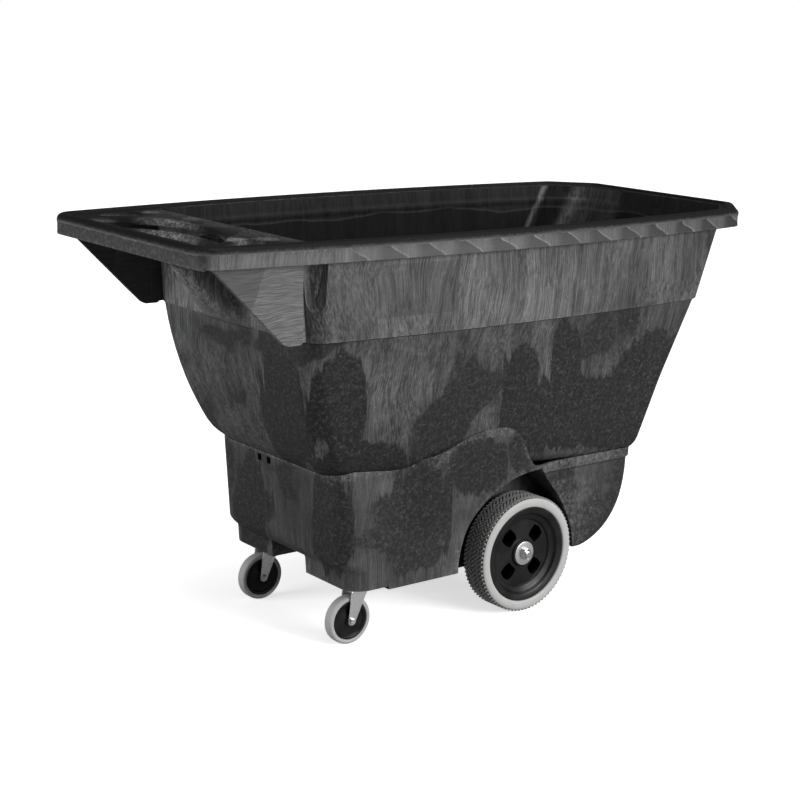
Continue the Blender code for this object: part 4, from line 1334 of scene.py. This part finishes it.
def with_highlights_and_wear(look, bright, mottle):
    """The brightness with the painted highlight spots added, and the outer edges lightened as wear and
    painted highlight.
    """
    for (distance, y, z), size, light in HIGHLIGHT_SPOTS:
        spot = look.shifted(look.place, (station(distance), y, z), scale=(1 / size, 1 / size, 1 / size))
        glow = look.step(look.length(spot), 0.25, 1.0, light, 0.0)
        bright = look.plus(bright, look.times(glow, look.plus(0.25, mottle)))
    # Outer edges lightened: partly wear, partly painted highlight.
    edge_wear_and_highlight = look.step(look.pointed(), 0.515, 0.56)
    return look.plus(bright, look.times(edge_wear_and_highlight, look.plus(0.012, look.times(mottle, 0.075))))


def moulded_plastic(name, patches, band_bottom, streakiness):
    """Black structural foam plastic: streaky above band_bottom, with dark mottled patches below it."""
    look = Look(name, (0.05, 0.05, 0.052), 0.5)
    height = look.split(look.place)[2]
    slow = look.noise(look.warped(look.place, 2.0, 0.4), 3.2, 3.0, 0.55)
    band = look.step(height, band_bottom - 0.002, band_bottom + 0.002)
    patch = wall_patches(look, patches, slow, band)
    flow = look.blend(band, streaks(look, 15.0, 260.0, 9.0), streaks(look, 2.0))
    mottle = look.step(look.noise(look.warped(look.place, 30.0, 0.02), 120.0, 5.0, 0.75), 0.42, 0.68)
    specks = look.times(look.step(look.noise(look.place, 420.0), 0.56, 0.74), mottle)

    streaky = streaky_shade(look, flow, slow, mottle, band, streakiness)
    bright = look.blend(patch, streaky, patch_shade(look, mottle, specks, streakiness))
    skirt = look.step(height, SKIRT_BOTTOM - 0.004, SKIRT_BOTTOM + 0.001)
    skirt = look.times(skirt, look.fade(height, SKIRT_TOP - 0.003, SKIRT_TOP + 0.002))
    bright = look.blend(skirt, bright, skirt_shade(look, flow, mottle))
    bead = look.step(height, SKIRT_TOP - 0.001, SKIRT_TOP + 0.003)
    bright = look.blend(bead, bright, bead_shade(look, flow, specks))
    inside, well = well_painted_light(look, mottle)
    bright = with_highlights_and_wear(look, look.blend(inside, bright, well), mottle)

    relief = look.plus(look.times(flow, 0.4), look.times(mottle, 0.7))
    look.bump(look.plus(relief, look.times(look.noise(look.place, 900.0), 0.25)), 0.35, 0.0005)
    shine = look.blend(bead, look.blend(patch, 0.40, 0.30), 0.12)
    look.feed(look.shader.inputs["Specular IOR Level"], shine)
    gloss = look.plus(look.blend(patch, 0.56, 0.42), look.times(mottle, 0.08))
    return look.paint(look.grey(bright, BLACK_TINT), gloss)


# Painted highlights standing for the upright creases in the hopper's far pour corner: place, half width and
# how bright.
POUR_CREASE_HIGHLIGHTS = ((1.447, 0.014, 0.100), (1.522, 0.022, 0.060), (1.587, 0.013, 0.110), (1.550, 0.060, 0.030))


def shaded_inner_plastic(name):
    """The same plastic inside the hopper, smoother, and darkened as painted shade, with faint upright
    streaks.
    """
    look = Look(name, (0.012, 0.012, 0.012), 0.5)
    uneven = look.split(look.warped(look.place, 5.0, 0.050))[2]
    flow = streaks(look, 3.0, 130.0, 9.0)
    strip = look.step(uneven, 0.902, 0.906)
    edge = look.times(strip, look.fade(uneven, 0.906, 0.912))
    shade = look.plus(look.blend(strip, 0.002, 0.005), look.times(flow, look.blend(strip, 0.006, 0.012)))
    shade = look.plus(shade, look.times(edge, 0.014))
    x, y, height = look.split(look.place)
    leaning = look.minus(x, look.times(look.minus(height, 0.86), 0.52))
    far_side = look.step(y, 0.10, 0.14)
    for place, width, light in POUR_CREASE_HIGHLIGHTS:
        crease = look.step(look.gap(leaning, station(place)), 0.0, width, light, 0.0)
        crease = look.times(crease, look.plus(0.35, flow))
        shade = look.plus(shade, look.times(crease, far_side))
    look.shader.inputs["Specular IOR Level"].default_value = 0.10
    look.bump(flow, 0.25, 0.0005)
    return look.paint(look.grey(shade, BLACK_TINT), 0.50)


def brushed_plastic(name):
    """The same plastic where it flowed across a flat plate in wavy lines, with the far-side plate darkened as
    painted shade.
    """
    look = Look(name, (0.07, 0.07, 0.07), 0.5)
    bent = look.warped(look.place, 7.0, 0.050)
    x, _, z = look.split(bent)
    level = look.noise(look.drawn(bent, -10, (16.0, 60.0, 330.0)), 1.0, 5.0, 0.65)
    steep = look.noise(look.drawn(bent, 50, (12.0, 60.0, 230.0)), 1.0, 4.0, 0.6)
    border = look.minus(x, look.times(look.minus(z, 0.82), 0.48))
    behind = look.step(border, station(0.128), station(0.132))
    flow = look.step(look.blend(behind, steep, level), 0.38, 0.66)
    bright = look.plus(look.blend(behind, 0.028, 0.050), look.times(flow, look.blend(behind, 0.045, 0.100)))
    # Painted shade: the far gusset is darkened to about a sixth.
    bright = look.times(bright, look.step(look.split(look.place)[1], -0.29, 0.0, 1.0, 0.16))
    look.bump(flow, 0.25, 0.0005)
    return look.paint(look.grey(bright, BLACK_TINT), look.plus(0.46, look.times(flow, 0.12)))


def rubber(name, bright, dust, treaded=False):
    """Grey solid rubber with a faint bloom and fine pores; on a treaded wheel the floor between the lugs is
    black, as dirt and painted shade.
    """
    look = Look(name, (bright, bright, bright), 0.6)
    cloud = look.noise(look.place, 28.0, 4.0, 0.6)
    pores = look.noise(look.place, 700.0, 2.0)
    shade = look.plus(bright - dust / 2, look.times(cloud, dust))
    shade = look.minus(shade, look.times(look.step(pores, 0.60, 0.75), 0.03))
    # The tread floor between the lugs: black, as dirt and painted shade.
    if treaded:
        axle = (station(WHEEL_PLACE), 0, WHEEL_RADIUS)
        reach = look.length(look.shifted(look.place, axle, scale=(1, 0, 1)))
        shade = look.blend(look.step(reach, 0.1400, 0.1408), shade, 0.012)
    look.bump(look.plus(pores, look.times(cloud, 0.6)), 0.18, 0.0004)
    return look.paint(look.grey(shade, (1.0, 1.0, 0.985)), look.step(cloud, 0.3, 0.7, 0.56, 0.70))


def black_nylon(name):
    look = Look(name, (0.012, 0.012, 0.013), 0.4)
    grain = look.noise(look.place, 520.0, 3.0, 0.6)
    cloud = look.noise(look.place, 24.0, 3.0)
    shade = look.step(cloud, 0.3, 0.7, 0.003, 0.007)
    look.shader.inputs["Specular IOR Level"].default_value = 0.30
    look.bump(grain, 0.16, 0.0004)
    return look.paint(look.grey(shade), look.step(cloud, 0.35, 0.65, 0.34, 0.46))


def plated_metal(name, bright, rough):
    """Zinc plate: bright metal with soft spangles and fine drawn lines."""
    look = Look(name, (bright, bright, bright), rough, 1.0)
    spangle = look.noise(look.warped(look.place, 60.0, 0.01), 110.0, 3.0, 0.5)
    drawn = look.noise(look.drawn(look.place, math.degrees(0.3), (900.0, 900.0, 60.0)), 1.0)
    shade = look.step(spangle, 0.3, 0.7, bright - 0.09, bright + 0.05)
    look.bump(look.plus(drawn, spangle), 0.10, 0.0002)
    gloss = look.step(spangle, 0.3, 0.7, rough + 0.08, rough - 0.05)
    return look.paint(look.grey(shade, (1.0, 1.0, 1.01)), gloss)


def white_nylon(name):
    look = Look(name, (0.68, 0.67, 0.63), 0.5)
    cloud = look.noise(look.place, 90.0, 3.0)
    shade = look.step(cloud, 0.3, 0.7, 0.60, 0.70)
    look.bump(look.noise(look.place, 600.0, 2.0), 0.12, 0.0003)
    return look.paint(look.grey(shade, (1.0, 0.985, 0.94)), look.step(cloud, 0.3, 0.7, 0.45, 0.55))


CAD_LOOKS = (
    (("axle_bush", "bearing"), "bush"),
    (("kingpin", "caster_sleeve"), "steel"),
    (("caster_plate", "swivel_race", "caster_bolt", "caster_axle", "hopper_bolt", "wheel_spacer"), "zinc"),
)


def dress_cad_nodes(looks):
    """Gives the CAD nodes that stay their materials."""
    for name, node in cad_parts.items():
        for starts, look in CAD_LOOKS:
            if name.startswith(starts):
                node.data.materials.clear()
                node.data.materials.append(looks[look])


# Stage


def make_stage():
    """A wide pale floor that shines a little to the camera only."""
    shape = bmesh.new()
    box(shape, (-30, -30, -0.02), (30, 30, 0))
    floor = add_object("floor", shape)
    look = Look("pale_floor", (0.93, 0.93, 0.93), 0.8)
    seen = look.tree.nodes.new("ShaderNodeLightPath").outputs["Is Camera Ray"]
    pale = look.step(look.noise(look.place, 1.2, 2.0), 0.2, 0.8, 0.92, 0.95)
    look.paint(look.grey(look.blend(seen, 0.30, pale)))
    look.shader.inputs["Specular IOR Level"].default_value = 0.1
    look.shader.inputs["Emission Color"].default_value = (1.0, 1.0, 1.0, 1.0)
    look.feed(look.shader.inputs["Emission Strength"], look.times(seen, 0.62))
    floor.data.materials.append(look.material)


def aim(thing, direction):
    thing.rotation_mode = "QUATERNION"
    thing.rotation_quaternion = Vector(direction).to_track_quat("-Z", "Y")


def add_area_light(name, place, target, size, power):
    light = bpy.data.lights.new(name, "AREA")
    light.shape = "RECTANGLE"
    light.size, light.size_y = size
    light.energy = power
    thing = add_to_scene(name, light)
    thing.location = place
    aim(thing, Vector(target) - Vector(place))


def make_world(strength, backdrop):
    """An even white surround: it lights the object at one strength, and shows behind it at another."""
    world = bpy.data.worlds.new("studio")
    bpy.context.scene.world = world
    world.use_nodes = True
    nodes = world.node_tree.nodes
    background = nodes["Background"]
    background.inputs["Color"].default_value = (1.0, 1.0, 1.0, 1.0)
    ray = nodes.new("ShaderNodeLightPath")
    choice = nodes.new("ShaderNodeMapRange")
    choice.inputs["To Min"].default_value = strength
    choice.inputs["To Max"].default_value = backdrop
    world.node_tree.links.new(ray.outputs["Is Camera Ray"], choice.inputs["Value"])
    world.node_tree.links.new(choice.outputs[0], background.inputs["Strength"])


def add_sun(direction, strength, spread):
    light = bpy.data.lights.new("soft_overhead", "SUN")
    light.energy = strength
    light.angle = math.radians(spread)
    aim(add_to_scene("soft_overhead", light), direction)


# The lights and the surround. Each area light: name, place, where it points, its sides and its watts.
SURROUND_LIGHT = 0.145
BACKDROP = 1.0
SUN_DIRECTION = (-0.25, 0.35, -1.0)
SUN_STRENGTH = 1.9
SUN_SPREAD = 60
AREA_LIGHTS = (
    ("key", (1.6, -4.6, 1.9), (0.1, -0.3, 0.5), (3.0, 1.8), 230),
    ("end_fill", (-4.4, 1.0, 1.5), (-0.6, 0.0, 0.5), (2.4, 1.8), 110),
)
CAMERA_PLACE = (-2.5812, -3.226, 1.4664)
CAMERA_YAW = math.radians(38.047)
CAMERA_PITCH = math.radians(13.198)
CAMERA_ROLL = math.radians(1.485)
CAMERA_LENS = 77.8


def make_camera():
    """The camera: it looks from +Y towards +X by its yaw, and down by its pitch."""
    level = math.cos(CAMERA_PITCH)
    ahead = Vector((math.sin(CAMERA_YAW) * level, math.cos(CAMERA_YAW) * level, -math.sin(CAMERA_PITCH)))
    level_right = ahead.cross(Vector((0, 0, 1))).normalized()
    level_up = level_right.cross(ahead)
    right = level_right * math.cos(CAMERA_ROLL) + level_up * math.sin(CAMERA_ROLL)
    up = level_up * math.cos(CAMERA_ROLL) - level_right * math.sin(CAMERA_ROLL)
    data = bpy.data.cameras.new("camera")
    data.lens = CAMERA_LENS
    data.sensor_width = 36.0
    data.clip_end = 100.0
    camera = add_to_scene("camera", data)
    turn = Matrix((right, up, -ahead)).transposed()
    camera.matrix_world = Matrix.Translation(CAMERA_PLACE) @ turn.to_4x4()
    bpy.context.scene.camera = camera


def main():
    bpy.context.scene.view_settings.view_transform = "Standard"
    make_camera()
    make_stage()
    make_world(SURROUND_LIGHT, BACKDROP)
    add_sun(SUN_DIRECTION, SUN_STRENGTH, SUN_SPREAD)
    for settings in AREA_LIGHTS:
        add_area_light(*settings)
    looks = {
        "hopper": moulded_plastic("hopper_foam_plastic", HOPPER_PATCHES, CREASE_HEIGHT, 0.85),
        "base": moulded_plastic("base_foam_plastic", BASE_PATCHES, 9.0, 0.45),
        "inside": shaded_inner_plastic("shaded_inner_foam_plastic"),
        "gusset": brushed_plastic("gusset_foam_plastic"),
        "hub": black_nylon("black_nylon"),
        "tyre": rubber("grey_rubber", 0.40, 0.06),
        "wheel_tyre": rubber("wheel_rubber", 0.40, 0.06, treaded=True),
        # The lugs: darker rubber than the sidewall, as dirt and painted shade.
        "tread": rubber("tread_rubber_dirt_and_shade", 0.25, 0.14),
        "zinc": plated_metal("zinc_plate", 0.72, 0.32),
        "steel": plated_metal("bright_steel", 0.58, 0.28),
        "bush": white_nylon("white_nylon"),
    }
    dress_cad_nodes(looks)
    make_hopper(looks["hopper"], looks["inside"])
    make_gussets(looks["gusset"])
    make_base(looks["base"])
    make_axle(looks["steel"])
    for side_name, side in SIDES:
        make_wheel(side_name, side, looks)
        make_caster(side_name, side, looks)


main()
